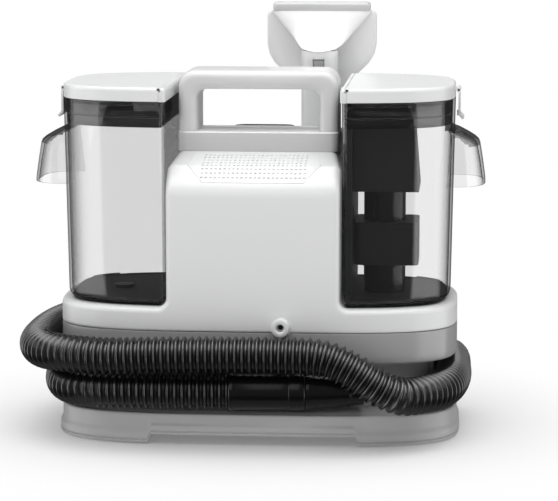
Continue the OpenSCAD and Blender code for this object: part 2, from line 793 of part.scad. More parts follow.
// Shield-shaped plate behind the nozzle
module tool_plate() color(pale_grey) at_body() difference() {
    run_y(mouth_y - 6, mouth_y + 8) polygon([for (s = [-1, 1], i = [0 : len(plate_edge) - 1])
        let (p = plate_edge[s < 0 ? i : len(plate_edge) - 1 - i])
            [tool_x + s * (nozzle_w / 2 - p[0]), mouth_z + p[1]]]);
    nozzle_form(0);
}

module tool_lip() color(grey) at_body() difference() {
    translate([0, 0, mouth_z]) linear_extrude(8.5)
        round_rect(tool_x - nozzle_w / 2 + 6, tool_x + nozzle_w / 2 - 6, mouth_y - 14, mouth_y + 11, 4);
    translate([0, 0, mouth_z - 1]) linear_extrude(11)
        round_rect(tool_x - nozzle_w / 2 + 12, tool_x + nozzle_w / 2 - 12, mouth_y - 8, mouth_y + 5, 3);
}

// Lever that hangs behind the neck on stub pins moulded into its top
module tool_trigger() color(grey) at_body() {
    translate([0, trigger_y, trigger_z]) {
        run_x(tool_x - 4.5, tool_x + 4.5) polygon([[-1.6, -4], [-1.6, 4], [2.4, 4], [7.5, -42], [4.5, -44]]);
        rod_x(0, 0, tool_x - 7.8, tool_x + 7.8, pin_r);
    }
}

module tool_release() color(grey) at_body()
    box(tool_x - 5.6, tool_x + 5.6, tool_y - neck_r + 0.4, tool_y - neck_r_in - 0.4,
        neck_top - 15.6, neck_top - 7.4);

// ---- hose ----

function unit(v) = v / norm(v);
function stop(i) = hose_route[max(0, min(len(hose_route) - 1, i))];

// Smooth curve that passes through every stop of the route
function curve(i, t) = (2 * stop(i) + (stop(i + 1) - stop(i - 1)) * t
    + (2 * stop(i - 1) - 5 * stop(i) + 4 * stop(i + 1) - stop(i + 2)) * t * t
    + (3 * stop(i) - stop(i - 1) - 3 * stop(i + 1) + stop(i + 2)) * t * t * t) / 2;

hose_path = concat([for (i = [0 : len(hose_route) - 2], t = [0, 0.5]) curve(i, t)],
    [stop(len(hose_route) - 1)]);

// Closed tube of the given radius along a path
module tube(path, r, sides) {
    last = len(path) - 1;
    rings = [for (i = [0 : last]) let (
            ahead = unit(path[min(i + 1, last)] - path[max(i - 1, 0)]),
            side = unit(cross(ahead, [0, 0, 1])),
            up = cross(side, ahead))
        for (k = [0 : sides - 1]) path[i] + r * (cos(360 * k / sides) * side + sin(360 * k / sides) * up)];
    skin = [for (i = [0 : last - 1], k = [0 : sides - 1]) let (n = (k + 1) % sides)
        [i * sides + k, i * sides + n, (i + 1) * sides + n, (i + 1) * sides + k]];
    polyhedron(rings, concat([[for (k = [sides - 1 : -1 : 0]) k]], skin,
        [[for (k = [0 : sides - 1]) last * sides + k]]), convexity = 10);
}

// Round piece on the grip's axis, between two distances from the hose's end
module on_grip(a0, a1, r0, r1) {
    translate(stop(len(hose_route) - 1)) rotate([0, 90, grip_turn])
        translate([0, 0, a0]) cylinder(h = a1 - a0, r1 = r0, r2 = r1, $fn = 64);
}

module hose() color(black) tube(hose_path, hose_d / 2, 12);

module hose_cuff() color(black) difference() {
    on_grip(0, cuff_len, hose_d / 2 + 0.8, hose_d / 2 + 1.8);
    on_grip(4, cuff_len + 1, 13, 13);
}

module hose_grip() color(black) difference() {
    on_grip(cuff_len, cuff_len + grip_len, hose_d / 2 + 1, neck_r_in - 0.3);
    on_grip(cuff_len - 1, cuff_len + grip_len + 1, grip_bore_r, grip_bore_r);
}

base_pan();
rubber_feet();
lower_housing();
deck_shell();
front_cover();
rear_housing();
collar();
carry_handle();
vent_panel();
exhaust_grille();
exhaust_filter();
button_bezel();
power_button();
power_switch();
water_port();
pump_body();
pump_plunger();
vacuum_motor();
fan_impeller();
fan_housing();
motor_mount();
control_board();
air_duct();
clean_dock();
tank_gaskets();
hose_outlet();
cord_gland();
upper_cord_hook();
tool_socket();
housing_screws();
clean_tank();
clean_grip();
clean_liner();
clean_rail();
clean_hinge_pin();
clean_lid();
clean_seal();
clean_latch();
clean_valve();
dirty_tank();
dirty_grip();
dirty_liner();
dirty_rail();
dirty_hinge_pin();
dirty_lid();
dirty_seal();
dirty_latch();
separator_housing();
separator_tube();
air_channel();
float();
tool_neck();
tool_nozzle();
tool_plate();
tool_lip();
tool_trigger();
tool_release();
hose();
hose_cuff();
hose_grip();
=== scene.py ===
"""Looks of a two-tank spot carpet cleaner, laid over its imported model.

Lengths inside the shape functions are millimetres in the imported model's frame: +X right, +Y back, +Z up.
"""
import json
import math

import bpy
import numpy as np
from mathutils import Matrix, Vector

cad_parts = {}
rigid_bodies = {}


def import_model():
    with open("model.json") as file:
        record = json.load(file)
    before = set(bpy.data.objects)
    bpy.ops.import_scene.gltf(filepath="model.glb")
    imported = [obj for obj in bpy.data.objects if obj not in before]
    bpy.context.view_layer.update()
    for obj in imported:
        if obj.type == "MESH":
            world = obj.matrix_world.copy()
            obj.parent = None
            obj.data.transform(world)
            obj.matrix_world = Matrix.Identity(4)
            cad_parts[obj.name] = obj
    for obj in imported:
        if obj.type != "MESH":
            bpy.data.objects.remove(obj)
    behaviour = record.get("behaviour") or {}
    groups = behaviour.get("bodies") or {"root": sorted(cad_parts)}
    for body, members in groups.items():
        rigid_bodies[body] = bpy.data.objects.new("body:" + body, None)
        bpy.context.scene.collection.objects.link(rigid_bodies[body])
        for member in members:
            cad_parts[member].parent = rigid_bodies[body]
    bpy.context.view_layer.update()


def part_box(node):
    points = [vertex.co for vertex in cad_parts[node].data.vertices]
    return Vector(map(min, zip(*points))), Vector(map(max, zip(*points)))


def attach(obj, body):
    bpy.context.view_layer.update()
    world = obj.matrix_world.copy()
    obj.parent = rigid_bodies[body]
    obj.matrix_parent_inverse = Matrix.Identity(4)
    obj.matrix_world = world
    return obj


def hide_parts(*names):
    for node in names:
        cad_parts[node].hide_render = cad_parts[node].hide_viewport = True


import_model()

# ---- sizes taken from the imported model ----


def node_box(node):
    """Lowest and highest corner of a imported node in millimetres."""
    lo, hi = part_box(node)
    return np.array(lo) * 1000, np.array(hi) * 1000


belt_lo, belt_hi = node_box("lower_housing")
HALF_W = (belt_hi[0] - belt_lo[0]) / 2          # outer belt, half width
HALF_D = (belt_hi[1] - belt_lo[1]) / 2          # outer belt, half depth
MID_Y = (belt_hi[1] + belt_lo[1]) / 2           # middle of the body
SQUARE = 3.65                                   # power of the rounded-rectangle outline
SPLIT_Z = belt_hi[2]
pan_lo, pan_hi = node_box("base_pan")
DECK_Z = node_box("deck_shell")[1][2]
COLUMN, _, ROOF_Z = node_box("front_cover")[1]
collar_lo, collar_hi = node_box("collar")
handle_lo, handle_hi = node_box("carry_handle")
tank_lo, tank_hi = node_box("dirty_tank")
TANK_IN = tank_lo[0]
TANK_Z = tank_lo[2]
TANK_TOP = tank_hi[2]
lid_lo, lid_hi = node_box("dirty_lid")
LID_TOP = lid_hi[2]
liner_lo, liner_hi = node_box("dirty_liner")
grip_lo, grip_hi = node_box("dirty_grip")
PORT_Y = node_box("water_port")[0][1]
BELT_Z = 76.4                                   # underside of the belt
WAIST = 25.0                                    # inset of the waist behind the hose
MOUTH_INSET = 3.2                               # inset of the tank's mouth and lid
FOOT_INSET = 6.6                                # inset of the tank's foot
SHOULDER_Z = 228.0                              # where the front face starts to lean back
HINGE_X = 85.0                                  # axis of the lids' hinges, from the middle of the body
PORT_X, PORT_Z = 26.0, 110.7                    # axis of the water port
RING_COUNT = 420                                # points round the body
TAU = 2 * np.pi


# ---- meshes from arrays ----


def grid_faces(rows, cols, wrap_rows=False, wrap_cols=False, offset=0):
    """Quads between neighbouring rows and columns of a grid of points, joined round where it wraps."""
    r = np.arange(rows if wrap_rows else rows - 1)
    c = np.arange(cols if wrap_cols else cols - 1)
    a, b = np.meshgrid(r, c, indexing="ij")
    a2, b2 = (a + 1) % rows, (b + 1) % cols
    quads = np.stack([a * cols + b, a * cols + b2, a2 * cols + b2, a2 * cols + b], -1)
    return quads.reshape(-1, 4) + offset


def new_object(name, data):
    """Links an object at the origin that shows data."""
    obj = bpy.data.objects.new(name, data)
    bpy.context.scene.collection.objects.link(obj)
    return obj


class Skin:
    """Points and faces of one piece, gathered from several grids before the mesh is made."""

    def __init__(self):
        self.points, self.faces, self.count = [], [], 0

    def add(self, pts, wrap_rows=False, wrap_cols=False, ends=(), outward=None, skip=None):
        """Adds a grid of points (rows, cols, 3). ends names the rows, 0 or -1, that are closed by a fan.
        The faces are turned so that the enclosed volume is positive, or so that they face along outward.
        skip gives the rows and columns, first and last, between which the skin is left open."""
        rows, cols, _ = pts.shape
        flat = pts.reshape(-1, 3)
        quads = grid_faces(rows, cols, wrap_rows, wrap_cols)
        if skip:
            r, c = quads[:, 0] // cols, quads[:, 0] % cols
            (r0, r1), (c0, c1) = skip
            quads = quads[~((r >= r0) & (r < r1) & (c >= c0) & (c < c1))]
        fans, extra = [], []
        for end in ends:
            ring = np.arange(cols) + (0 if end == 0 else (rows - 1) * cols)
            tip = len(flat) + len(extra)
            extra.append(pts[end].mean(0))
            nxt = np.roll(ring, -1) if wrap_cols else ring[1:]
            now = ring if wrap_cols else ring[:-1]
            order = (now, nxt) if end != 0 else (nxt, now)
            fans.append(np.stack([order[0], order[1], np.full(len(now), tip)], -1))
        if extra:
            flat = np.vstack([flat, np.array(extra)])
        tris = np.vstack([quads[:, [0, 1, 2]], quads[:, [0, 2, 3]]] + fans)
        a, b, c = (flat[tris[:, k]] for k in range(3))
        normal = np.cross(b - a, c - a)
        if outward is None:
            turn = np.einsum("ij,ij->", a - flat.mean(0), normal) < 0
        else:
            turn = (normal @ np.array(outward, float)).sum() < 0
        faces = [quads] + fans
        self.faces += [(f[:, ::-1] if turn else f) + self.count for f in faces]
        self.points.append(flat)
        self.count += len(flat)
        return self

    def closed(self, pts):
        """Adds rings that are capped at both ends."""
        return self.add(pts, wrap_cols=True, ends=(0, -1))

    def hoop(self, pts):
        """Adds rings of which the last meets the first."""
        return self.add(pts, wrap_rows=True, wrap_cols=True)

    def piece(self, name, body, finish, slot=None, stands_for=(), crease=None, second=None):
        """Makes the mesh object in metres at the origin: smooth, or sharp where faces turn by more than
        crease degrees. second is a finish and a rule: faces whose middle (mm) and normal obey it take it."""
        pts = np.vstack(self.points) / 1000
        size = np.concatenate([np.full(len(f), f.shape[1]) for f in self.faces])
        index = np.concatenate([f.reshape(-1) for f in self.faces])
        mesh = bpy.data.meshes.new(name)
        mesh.vertices.add(len(pts))
        mesh.vertices.foreach_set("co", pts.reshape(-1).astype(np.float32))
        mesh.loops.add(len(index))
        mesh.loops.foreach_set("vertex_index", index.astype(np.int32))
        mesh.polygons.add(len(size))
        starts = np.concatenate([[0], np.cumsum(size)[:-1]])
        mesh.polygons.foreach_set("loop_start", starts.astype(np.int32))
        mesh.polygons.foreach_set("loop_total", size.astype(np.int32))
        mesh.update(calc_edges=True)
        mesh.validate()
        mesh.polygons.foreach_set("use_smooth", np.ones(len(mesh.polygons), bool))
        if crease is not None:
            mesh.set_sharp_from_angle(angle=math.radians(crease))
        obj = new_object(name, mesh)
        mesh.materials.append(finish)
        if second:
            mesh.materials.append(second[0])
            middle, normal = np.empty((2, len(mesh.polygons), 3))
            mesh.polygons.foreach_get("center", middle.ravel())
            mesh.polygons.foreach_get("normal", normal.ravel())
            chosen = second[1](middle * 1000, normal)
            mesh.polygons.foreach_set("material_index", chosen.astype(np.int32))
        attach(obj, body)
        if stands_for:
            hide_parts(*stands_for)
        return obj


# ---- plan outlines ----


def half_depth(x, inset=0.0):
    """Half depth of the outline at x: the outline is where |x/a|^p + |y/b|^p is 1."""
    a, b = HALF_W - inset, HALF_D - inset
    return b * np.clip(1 - np.abs(np.asarray(x, float) / a) ** SQUARE, 0, 1) ** (1 / SQUARE)


def unit_radius(t, power=SQUARE):
    """How far the curve |x|^p + |y|^p = 1 lies from its middle in the directions t."""
    return (np.abs(np.cos(t)) ** power + np.abs(np.sin(t)) ** power) ** (-1 / power)


def reach_along(path):
    """Length along a polyline at each of its points."""
    return np.concatenate([[0], np.cumsum(np.linalg.norm(np.diff(path, axis=0), axis=1))])


def even(path, count, closed=False):
    """Resamples a polyline to count points evenly spaced along its length."""
    pts = np.vstack([path, path[:1]]) if closed else path
    length = reach_along(pts)
    at = np.linspace(0, length[-1], count, endpoint=not closed)
    return np.stack([np.interp(at, length, pts[:, k]) for k in range(pts.shape[1])], -1)


def points(x, y, z):
    """Rows of x, y and z. A single number is repeated for every row."""
    return np.column_stack(np.broadcast_arrays(x, y, z))


RING_ANGLES = {}


def ring_angles(count):
    """Directions of count points spaced evenly along the outline, worked out once for each count."""
    if count not in RING_ANGLES:
        t = np.linspace(0, TAU, 4001)
        r = unit_radius(t)
        length = reach_along(np.stack([HALF_W * r * np.cos(t), HALF_D * r * np.sin(t)], -1))
        RING_ANGLES[count] = np.interp(np.linspace(0, length[-1], count, endpoint=False), length, t)
    return RING_ANGLES[count]


def outline(inset, count=RING_COUNT):
    """Closed outline: each direction's point on the unit curve, stretched by both half sizes less inset."""
    t = ring_angles(count)
    r = unit_radius(t)
    return np.stack([(HALF_W - inset) * r * np.cos(t), (HALF_D - inset) * r * np.sin(t)], -1)


def rings(profile):
    """Grid of one outline per profile point (inset, z), placed round the middle of the body."""
    return np.array([points(*(outline(inset) + [0, MID_Y]).T, z) for inset, z in profile])


def arc(cx, cy, r, a0, a1, steps):
    """Points of a circular arc from angle a0 to a1 in degrees."""
    t = np.radians(np.linspace(a0, a1, steps))
    return np.column_stack([cx + r * np.cos(t), cy + r * np.sin(t)])


def side_section(inset, x0, r, n):
    """Plan of a piece at the right end of the body: the outline where x is above x0, closed by a straight
    face at x0 whose two corners are arcs of radius r. Counter-clockwise from the middle of that face."""
    t = np.linspace(-np.pi, np.pi, 4001)
    k = unit_radius(t)
    edge = np.column_stack([(HALF_W - inset) * k * np.cos(t), (HALF_D - inset) * k * np.sin(t)])
    depth = float(half_depth(x0 + r, inset))
    edge = edge[edge[:, 0] > x0 + r]
    edge = even(np.vstack([[[x0 + r, -depth]], edge, [[x0 + r, depth]]]), n)
    face = np.column_stack([np.full(12, x0), np.linspace(0, depth - r, 12)])
    corner = arc(x0 + r, depth - r, r, 90, 180, 9)
    front = [face[:-1] * [1, -1], (corner * [1, -1])[::-1][:-1]]
    return np.vstack(front + [edge, corner[1:], face[::-1][1:-1]])


def side_rings(profile, side, x0, r, n, inward=1.0):
    """Grid of side sections, one per profile point (step, z, inset), drawn in by step all round. The
    straight face at x0 moves by inward times the step, and by a fourth value where a point has one."""
    rows = []
    for step, z, inset, *back in profile:
        corner = max(r - 0.4 * step, min(r, 0.5))
        x, y = side_section(inset + step, x0 + step * inward + sum(back), corner, n).T
        rows.append(points(x * side, y + MID_Y, z))
    return np.array(rows)


def rect_ring(x0, x1, y0, y1, r, steps=8, fill=10):
    """Closed rectangle with corner arcs of radius r, counter-clockwise; each side has fill parts."""
    corners = [((x1 - r, y0 + r), 270), ((x1 - r, y1 - r), 0),
               ((x0 + r, y1 - r), 90), ((x0 + r, y0 + r), 180)]
    out = []
    for k, ((cx, cy), a) in enumerate(corners):
        turn = arc(cx, cy, r, a, a + 90, steps)
        out.append(turn)
        (nx, ny), b = corners[(k + 1) % 4]
        start = arc(nx, ny, r, b, b, 1)[0]
        out.append(turn[-1] + (start - turn[-1]) * np.linspace(0, 1, fill + 1)[1:-1, None])
    return np.vstack(out)


def stack(plan, profile):
    """Grid with one row per profile point (inset, z); plan(inset) gives the ring in plan."""
    return np.array([points(*plan(i).T, z) for i, z in profile])


def bend(p0, p1, p2, r, steps):
    """Points that round the corner p0-p1-p2 of a profile with radius r."""
    p0, p1, p2 = (np.array(p, float) for p in (p0, p1, p2))
    u, v = (p0 - p1) / np.linalg.norm(p0 - p1), (p2 - p1) / np.linalg.norm(p2 - p1)
    half = math.acos(max(-1, min(1, float(u @ v)))) / 2
    cut = r / math.tan(half)
    a, b = p1 + u * cut, p1 + v * cut
    centre = p1 + (u + v) / np.linalg.norm(u + v) * (r / math.sin(half))
    t = np.linspace(0, 1, steps)
    a0, b0 = a - centre, b - centre
    w = math.pi - 2 * half
    return centre + (np.sin((1 - t) * w)[:, None] * a0 + np.sin(t * w)[:, None] * b0) / math.sin(w)


def rounded(path, radii, steps):
    """A closed polyline with each corner rounded to its own radius."""
    turns = [bend(path[i - 1], p, path[(i + 1) % len(path)], radii[i], steps) for i, p in enumerate(path)]
    return np.vstack(turns)


def spun(profile, centre, axis="z", sides=64):
    """Surface of revolution: the profile (radius, height) carried round an axis through centre."""
    t = np.linspace(0, TAU, sides, endpoint=False)
    r, h = np.array(profile, float).T
    c, s = np.outer(r, np.cos(t)), np.outer(r, np.sin(t))
    high = np.repeat(h[:, None], sides, 1)
    order = {"z": (c, s, high), "y": (c, high, -s), "x": (high, c, s)}[axis]
    return np.stack(order, -1) + np.array(centre, float)


def block(x0, x1, y0, y1, z0, z1, r):
    """Slab with rounded plan corners and rounded upper and lower edges, as a grid of rings."""
    def plan(i):
        return rect_ring(x0 + i, x1 - i, y0 + i, y1 - i, max(r - 0.3 * i, 0.2), 5, 4)
    e = r * 0.7
    edge = np.vstack([arc(e, z0 + e, e, 270, 180, 4), arc(e, z1 - e, e, 180, 90, 4)])
    return stack(plan, [(max(p[0], 0), p[1]) for p in edge])


# ---- finishes ----


class Wire:
    """A value in a material: + - * and ** on it add Math nodes."""

    def __init__(self, nodes, socket):
        self.nodes, self.socket = nodes, socket

    def math(self, operation, a, b):
        """One Math node on two values."""
        return self.nodes.node("ShaderNodeMath", {"operation": operation}, {0: a, 1: b})

    def __add__(self, other):
        return self.math("ADD", self, other)

    def __rsub__(self, other):
        return self.math("SUBTRACT", other, self)

    def __mul__(self, other):
        return self.math("MULTIPLY", self, other)

    def __pow__(self, other):
        return self.math("POWER", self, other)


class Nodes:
    """The node tree of a material or of the surround."""

    def __init__(self, tree, output):
        self.tree, self.out = tree, tree.nodes[output]

    def node(self, kind, settings=None, values=None, out=0):
        """Adds a node: its settings first, then its sockets' values or Wires. Gives one output as a Wire."""
        made = self.tree.nodes.new(kind)
        for key, value in (settings or {}).items():
            setattr(made, key, value)
        self.put(made, values or {})
        return Wire(self, made.outputs[out])

    def put(self, made, values):
        """Links a Wire to its socket, and writes any other value into it."""
        for key, value in values.items():
            if isinstance(value, Wire):
                self.tree.links.new(value.socket, made.inputs[key])
            else:
                made.inputs[key].default_value = value

    def ramp(self, value, low, high, below, above):
        """Goes smoothly from below to above as the value goes from low to high."""
        return self.node("ShaderNodeMapRange", {"interpolation_type": "SMOOTHSTEP"},
                         {0: value, 1: low, 2: high, 3: below, 4: above})

    def mix(self, factor, a, b):
        """Shader a where the factor is 0 and b where it is 1."""
        return self.node("ShaderNodeMixShader", None, {0: factor, 1: a, 2: b})

    def show(self, surface):
        """Makes a shader the tree's result."""
        self.put(self.out, {"Surface": surface})


class Finish(Nodes):
    """A material whose Principled shader takes fixed values by name and Wires for what changes over it."""

    def __init__(self, name, **fixed):
        self.material = bpy.data.materials.new(name)
        self.material.use_nodes = True
        super().__init__(self.material.node_tree, "Material Output")
        self.shader = self.tree.nodes["Principled BSDF"]
        self.lit = Wire(self, self.shader.outputs[0])
        self.feed(**fixed)

    def feed(self, **values):
        """Sets or links sockets of the Principled shader by name."""
        self.put(self.shader, {key.replace("_", " "): value for key, value in values.items()})

    def place(self):
        """Object coordinates in metres."""
        return self.node("ShaderNodeTexCoord", out=3)

    def noise(self, scale, detail=2.0):
        """Soft random pattern, scale spots to the metre."""
        return self.node("ShaderNodeTexNoise", None,
                         {"Vector": self.place(), "Scale": scale, "Detail": detail, "Roughness": 0.55})

    def blend(self, factor, a, b):
        """Colour between a and b."""
        return self.node("ShaderNodeMix", {"data_type": "RGBA"}, {0: factor, 6: a, 7: b}, out=2)

    def bump(self, height, depth, strength=0.4):
        """Relief from a height between 0 and 1, depth metres deep."""
        self.feed(Normal=self.node("ShaderNodeBump", None,
                                   {"Strength": strength, "Distance": depth, "Height": height}))


def shade(level, warm=0.0):
    """Neutral colour of one linear level, a little warmer or cooler."""
    return (level * (1 + warm), level, level * (1 - warm), 1.0)


def moulded(name, level, rough, spread=0.03, grain=2200, relief=0.00004, warm=0.0, **fixed):
    """Moulded plastic: faint tone drift, a fine spark-eroded grain, and gloss that wanders a little."""
    skin = Finish(name, **fixed)
    drift = skin.noise(14, 3)
    fine = skin.noise(grain, 2)
    dim, bright = level * (1 - spread), min(level * (1 + spread), 0.95)
    skin.feed(Base_Color=skin.blend(drift, shade(dim, warm), shade(bright, warm)),
              Roughness=skin.noise(40, 4) * 0.10 + (rough - 0.05) + fine * 0.04)
    skin.bump(fine, relief)
    return skin.material


def clear_plastic(name, light, dark, gloss_low, edge_power, rough=0.012):
    """Clear moulded wall: light goes straight through, dimmer where the wall is seen edge-on, under a
    mirror-like gloss that grows towards the edge."""
    skin = Finish(name, Metallic=1.0)
    facing = skin.node("ShaderNodeLayerWeight", None, {"Blend": 0.5}, out=1)
    haze = skin.noise(30, 3)
    skin.feed(Base_Color=skin.blend(haze, shade(0.93), shade(0.97)), Roughness=haze * 0.02 + rough)
    through = skin.node("ShaderNodeBsdfTransparent", None, {"Color": shade(light)})
    edge_on = skin.node("ShaderNodeBsdfTransparent", None, {"Color": shade(dark)})
    wall = skin.mix(facing ** edge_power, through, edge_on)
    skin.show(skin.mix(facing ** 5 * 0.14 + gloss_low, wall, skin.lit))
    return skin.material


def hose_finish():
    """Black flexible plastic: glossier on the crests of the coils and duller in the grooves, with dusty
    patches of roughness. Its colour is a shade lighter on the crests and darker in the grooves: painted
    highlight and painted shade.
    """
    skin = Finish("hose_black", Specular_IOR_Level=0.75)
    crest = skin.node("ShaderNodeAttribute", {"attribute_name": "crest"}, out=2)
    dust = skin.noise(90, 4)
    # painted highlight and shade: the base colour is lighter on the crests and darker in the grooves
    skin.feed(Base_Color=skin.blend(crest, shade(0.0015), shade(0.007)),
              Roughness=0.30 - crest * 0.12 + dust * 0.05)
    skin.bump(skin.noise(1400, 2), 0.00005)
    return skin.material


def brushed_metal(name, level, rough):
    """Turned metal: fine rings of tool marks round the vertical axis."""
    skin = Finish(name, Metallic=1.0)
    marks = skin.node("ShaderNodeTexWave", {"wave_type": "RINGS", "rings_direction": "Z"},
                      {"Vector": skin.place(), "Scale": 260.0, "Distortion": 2.0})
    skin.feed(Base_Color=skin.blend(skin.noise(60), shade(level * 0.85), shade(level)),
              Roughness=marks * 0.1 + rough)
    skin.bump(marks, 0.00003)
    return skin.material


def foam_finish():
    """Open-cell foam: dark pits between pale struts."""
    skin = Finish("foam_black", Roughness=0.95)
    cells = skin.node("ShaderNodeTexVoronoi", None, {"Vector": skin.place(), "Scale": 900.0})
    skin.feed(Base_Color=skin.blend(cells, shade(0.012), shade(0.05)))
    skin.bump(cells, 0.0004, 0.8)
    return skin.material


def board_finish():
    """Green board with fine copper tracks under the lacquer."""
    skin = Finish("board_green", Roughness=0.35)
    tracks = skin.node("ShaderNodeTexBrick", None,
                       {"Vector": skin.place(), "Scale": 90.0, "Mortar Size": 0.03}, out=1)
    skin.feed(Base_Color=skin.blend(tracks, (0.02, 0.12, 0.05, 1), (0.08, 0.26, 0.12, 1)))
    return skin.material


WHITE = moulded("shell_white", 0.80, 0.30, 0.012, warm=-0.004)
GREY = moulded("belt_grey", 0.36, 0.22, 0.02)
PALE = moulded("base_pale_grey", 0.51, 0.34, 0.02, Specular_IOR_Level=0.35)
BAR = moulded("handle_white", 0.70, 0.30, 0.015)
GREY_TOP = moulded("collar_grey", 0.62, 0.28, 0.02)
# painted light: a brighter copy of the shell's white for faces that should read as lit, the nozzle and the
# collar's top
LIT_WHITE = moulded("white_painted_lit", 0.95, 0.34, 0.010)
SHIELD = moulded("plate_grey", 0.84, 0.34, 0.02)
LIP = moulded("lip_grey", 0.60, 0.34, 0.02)
# painted light: the vent's backing is paler than the shell so the holes read lit, not shaded
LIT_SCREEN = moulded("vent_backing_painted_light", 0.92, 0.50, 0.02)
DARK = moulded("inner_dark", 0.016, 0.32, 0.10, Specular_IOR_Level=0.35)
FLOAT = moulded("float_black", 0.012, 0.34, 0.10, Specular_IOR_Level=0.3)
BLACK = moulded("gloss_black", 0.004, 0.20, 0.10, relief=0.00002, Specular_IOR_Level=0.35)
RUBBER = moulded("rubber_black", 0.018, 0.70, 0.15, grain=900, relief=0.00012)
LINER = clear_plastic("liner_smoke", 0.14, 0.06, 0.04, 4.0, 0.02)
CLEAR = clear_plastic("tank_clear", 0.93, 0.05, 0.035, 5.5)
SMOKE = clear_plastic("tank_smoke", 0.94, 0.05, 0.035, 5.5)
# painted shade: a darker, less clear copy of the tank wall for the grips' crowns
CROWN_SHADE = clear_plastic("grip_crown_painted_shade", 0.40, 0.12, 0.04, 2.0, 0.03)
# painted shade: dark matte finish for the clear tanks' level faces near the foot
FOOT_SHADE = moulded("foot_painted_shade", 0.018, 0.50, 0.10, Specular_IOR_Level=0.1)
STEEL = brushed_metal("steel_turned", 0.55, 0.28)
ALLOY = brushed_metal("alloy_turned", 0.70, 0.35)
FOAM = foam_finish()
BOARD = board_finish()
HOSE = hose_finish()

# ---- camera, made first ----

camera = new_object("camera", bpy.data.cameras.new("camera"))
camera.data.lens, camera.data.sensor_width = 164.08, 36.0
camera.data.sensor_fit = "HORIZONTAL"
camera.data.clip_end = 20
camera.location = (0.20005, -2.37971, 0.51575)
camera.rotation_euler = (math.radians(90 - 8.38), 0, math.radians(4.43))
bpy.context.scene.camera = camera

# ---- hose, made next ----

# Middle of the hose in metres: from the outlet along the back, round the left and across the front,
# down at the right, once more round the back and left, and to the grip at the front
HOSE_ROUTE = [
    (0.032, 0.104, 0.088), (0, 0.104, 0.088), (-0.060, 0.104, 0.088), (-0.120, 0.102, 0.088),
    (-0.164, 0.089, 0.087), (-0.190, 0.062, 0.086), (-0.202, 0.028, 0.085), (-0.206, -0.020, 0.085),
    (-0.205, -0.064, 0.084), (-0.193, -0.098, 0.084), (-0.168, -0.120, 0.085), (-0.130, -0.131, 0.085),
    (-0.080, -0.134, 0.087), (-0.020, -0.134, 0.088), (0.034, -0.134, 0.088), (0.066, -0.135, 0.086),
    (0.092, -0.136, 0.075), (0.114, -0.134, 0.061), (0.136, -0.127, 0.051), (0.158, -0.108, 0.050),
    (0.174, -0.080, 0.050), (0.181, -0.040, 0.052), (0.181, 0.010, 0.053), (0.178, 0.050, 0.055),
    (0.160, 0.072, 0.054), (0.125, 0.080, 0.052), (0.060, 0.084, 0.052), (0, 0.084, 0.052),
    (-0.060, 0.084, 0.052), (-0.120, 0.080, 0.052), (-0.158, 0.066, 0.052), (-0.177, 0.040, 0.052),
    (-0.183, 0, 0.052), (-0.183, -0.050, 0.051), (-0.172, -0.088, 0.050), (-0.146, -0.109, 0.051),
    (-0.104, -0.117, 0.052), (-0.062, -0.118, 0.052), (-0.020, -0.115, 0.052)]
HOSE_R = 17.5
COIL_PITCH = 6.6
GROOVE = 3.6                                    # how deep the grooves between the coils are
COIL_RINGS, HOSE_SIDES = 12, 28                 # rings of points to each coil, and points round it
GRIP_TURN = 4.6                                 # how far the grip is turned to the back, in degrees


def smooth_route(route, per_span=40):
    """Curve through every stop: each span is a cubic whose end slopes follow its neighbours' chord."""
    p = np.array(route) * 1000
    p = np.vstack([p[:1], p, p[-1:]])
    t = np.linspace(0, 1, per_span, endpoint=False)[:, None]
    spans = [(2 * b + (c - a) * t + (2 * a - 5 * b + 4 * c - d) * t ** 2
              + (3 * b - a - 3 * c + d) * t ** 3) / 2
             for a, b, c, d in zip(p[:-3], p[1:-2], p[2:-1], p[3:])]
    return np.vstack(spans + [p[-1:]])


def tube_grid(middle, radius, sides):
    """Rings of the given radii round a path: across it sideways and across both."""
    along = np.gradient(middle, axis=0)
    along /= np.linalg.norm(along, axis=1)[:, None]
    side = np.cross(along, [0, 0, 1.0])
    side /= np.linalg.norm(side, axis=1)[:, None]
    up = np.cross(side, along)
    t = np.linspace(0, TAU, sides, endpoint=False)
    radius = np.broadcast_to(radius, len(middle))
    return (middle[:, None] + radius[:, None, None]
            * (np.cos(t)[None, :, None] * side[:, None] + np.sin(t)[None, :, None] * up[:, None]))


def make_hose():
    """Corrugated tube: its radius swings once per coil, with round crests and deep grooves."""
    fine = smooth_route(HOSE_ROUTE)
    reach = reach_along(fine)
    coils = int(reach[-1] / COIL_PITCH)
    at = np.linspace(0, reach[-1], coils * COIL_RINGS + 1)
    middle = np.stack([np.interp(at, reach, fine[:, k]) for k in range(3)], -1)
    crest = (0.5 - 0.5 * np.cos(TAU * at * coils / reach[-1])) ** 1.3
    skin = Skin().closed(tube_grid(middle, HOSE_R - GROOVE + GROOVE * crest, HOSE_SIDES))
    hose = skin.piece("suction_hose", "base", HOSE, "hose_plastic", ["hose"])
    # the crest share also paints the hose's colour: lighter crests are painted highlight, darker grooves
    # painted shade
    crest_shading = hose.data.attributes.new("crest", "FLOAT", "POINT")
    level = np.concatenate([np.repeat(crest, HOSE_SIDES), [0, 0]]).astype(np.float32)
    crest_shading.data.foreach_set("value", level[:len(hose.data.vertices)])
    return hose, middle, reach[-1]


def on_grip(profile):
    """Surface of revolution round the grip's axis, level and turned a little to the back."""
    turn = math.radians(GRIP_TURN)
    pts = spun(profile, (0, 0, 0), "x", 72)
    x, y, z = np.moveaxis(pts, -1, 0)
    end = np.array(HOSE_ROUTE[-1]) * 1000
    c, s = math.cos(turn), math.sin(turn)
    return np.stack([x * c - y * s, x * s + y * c, z], -1) + end


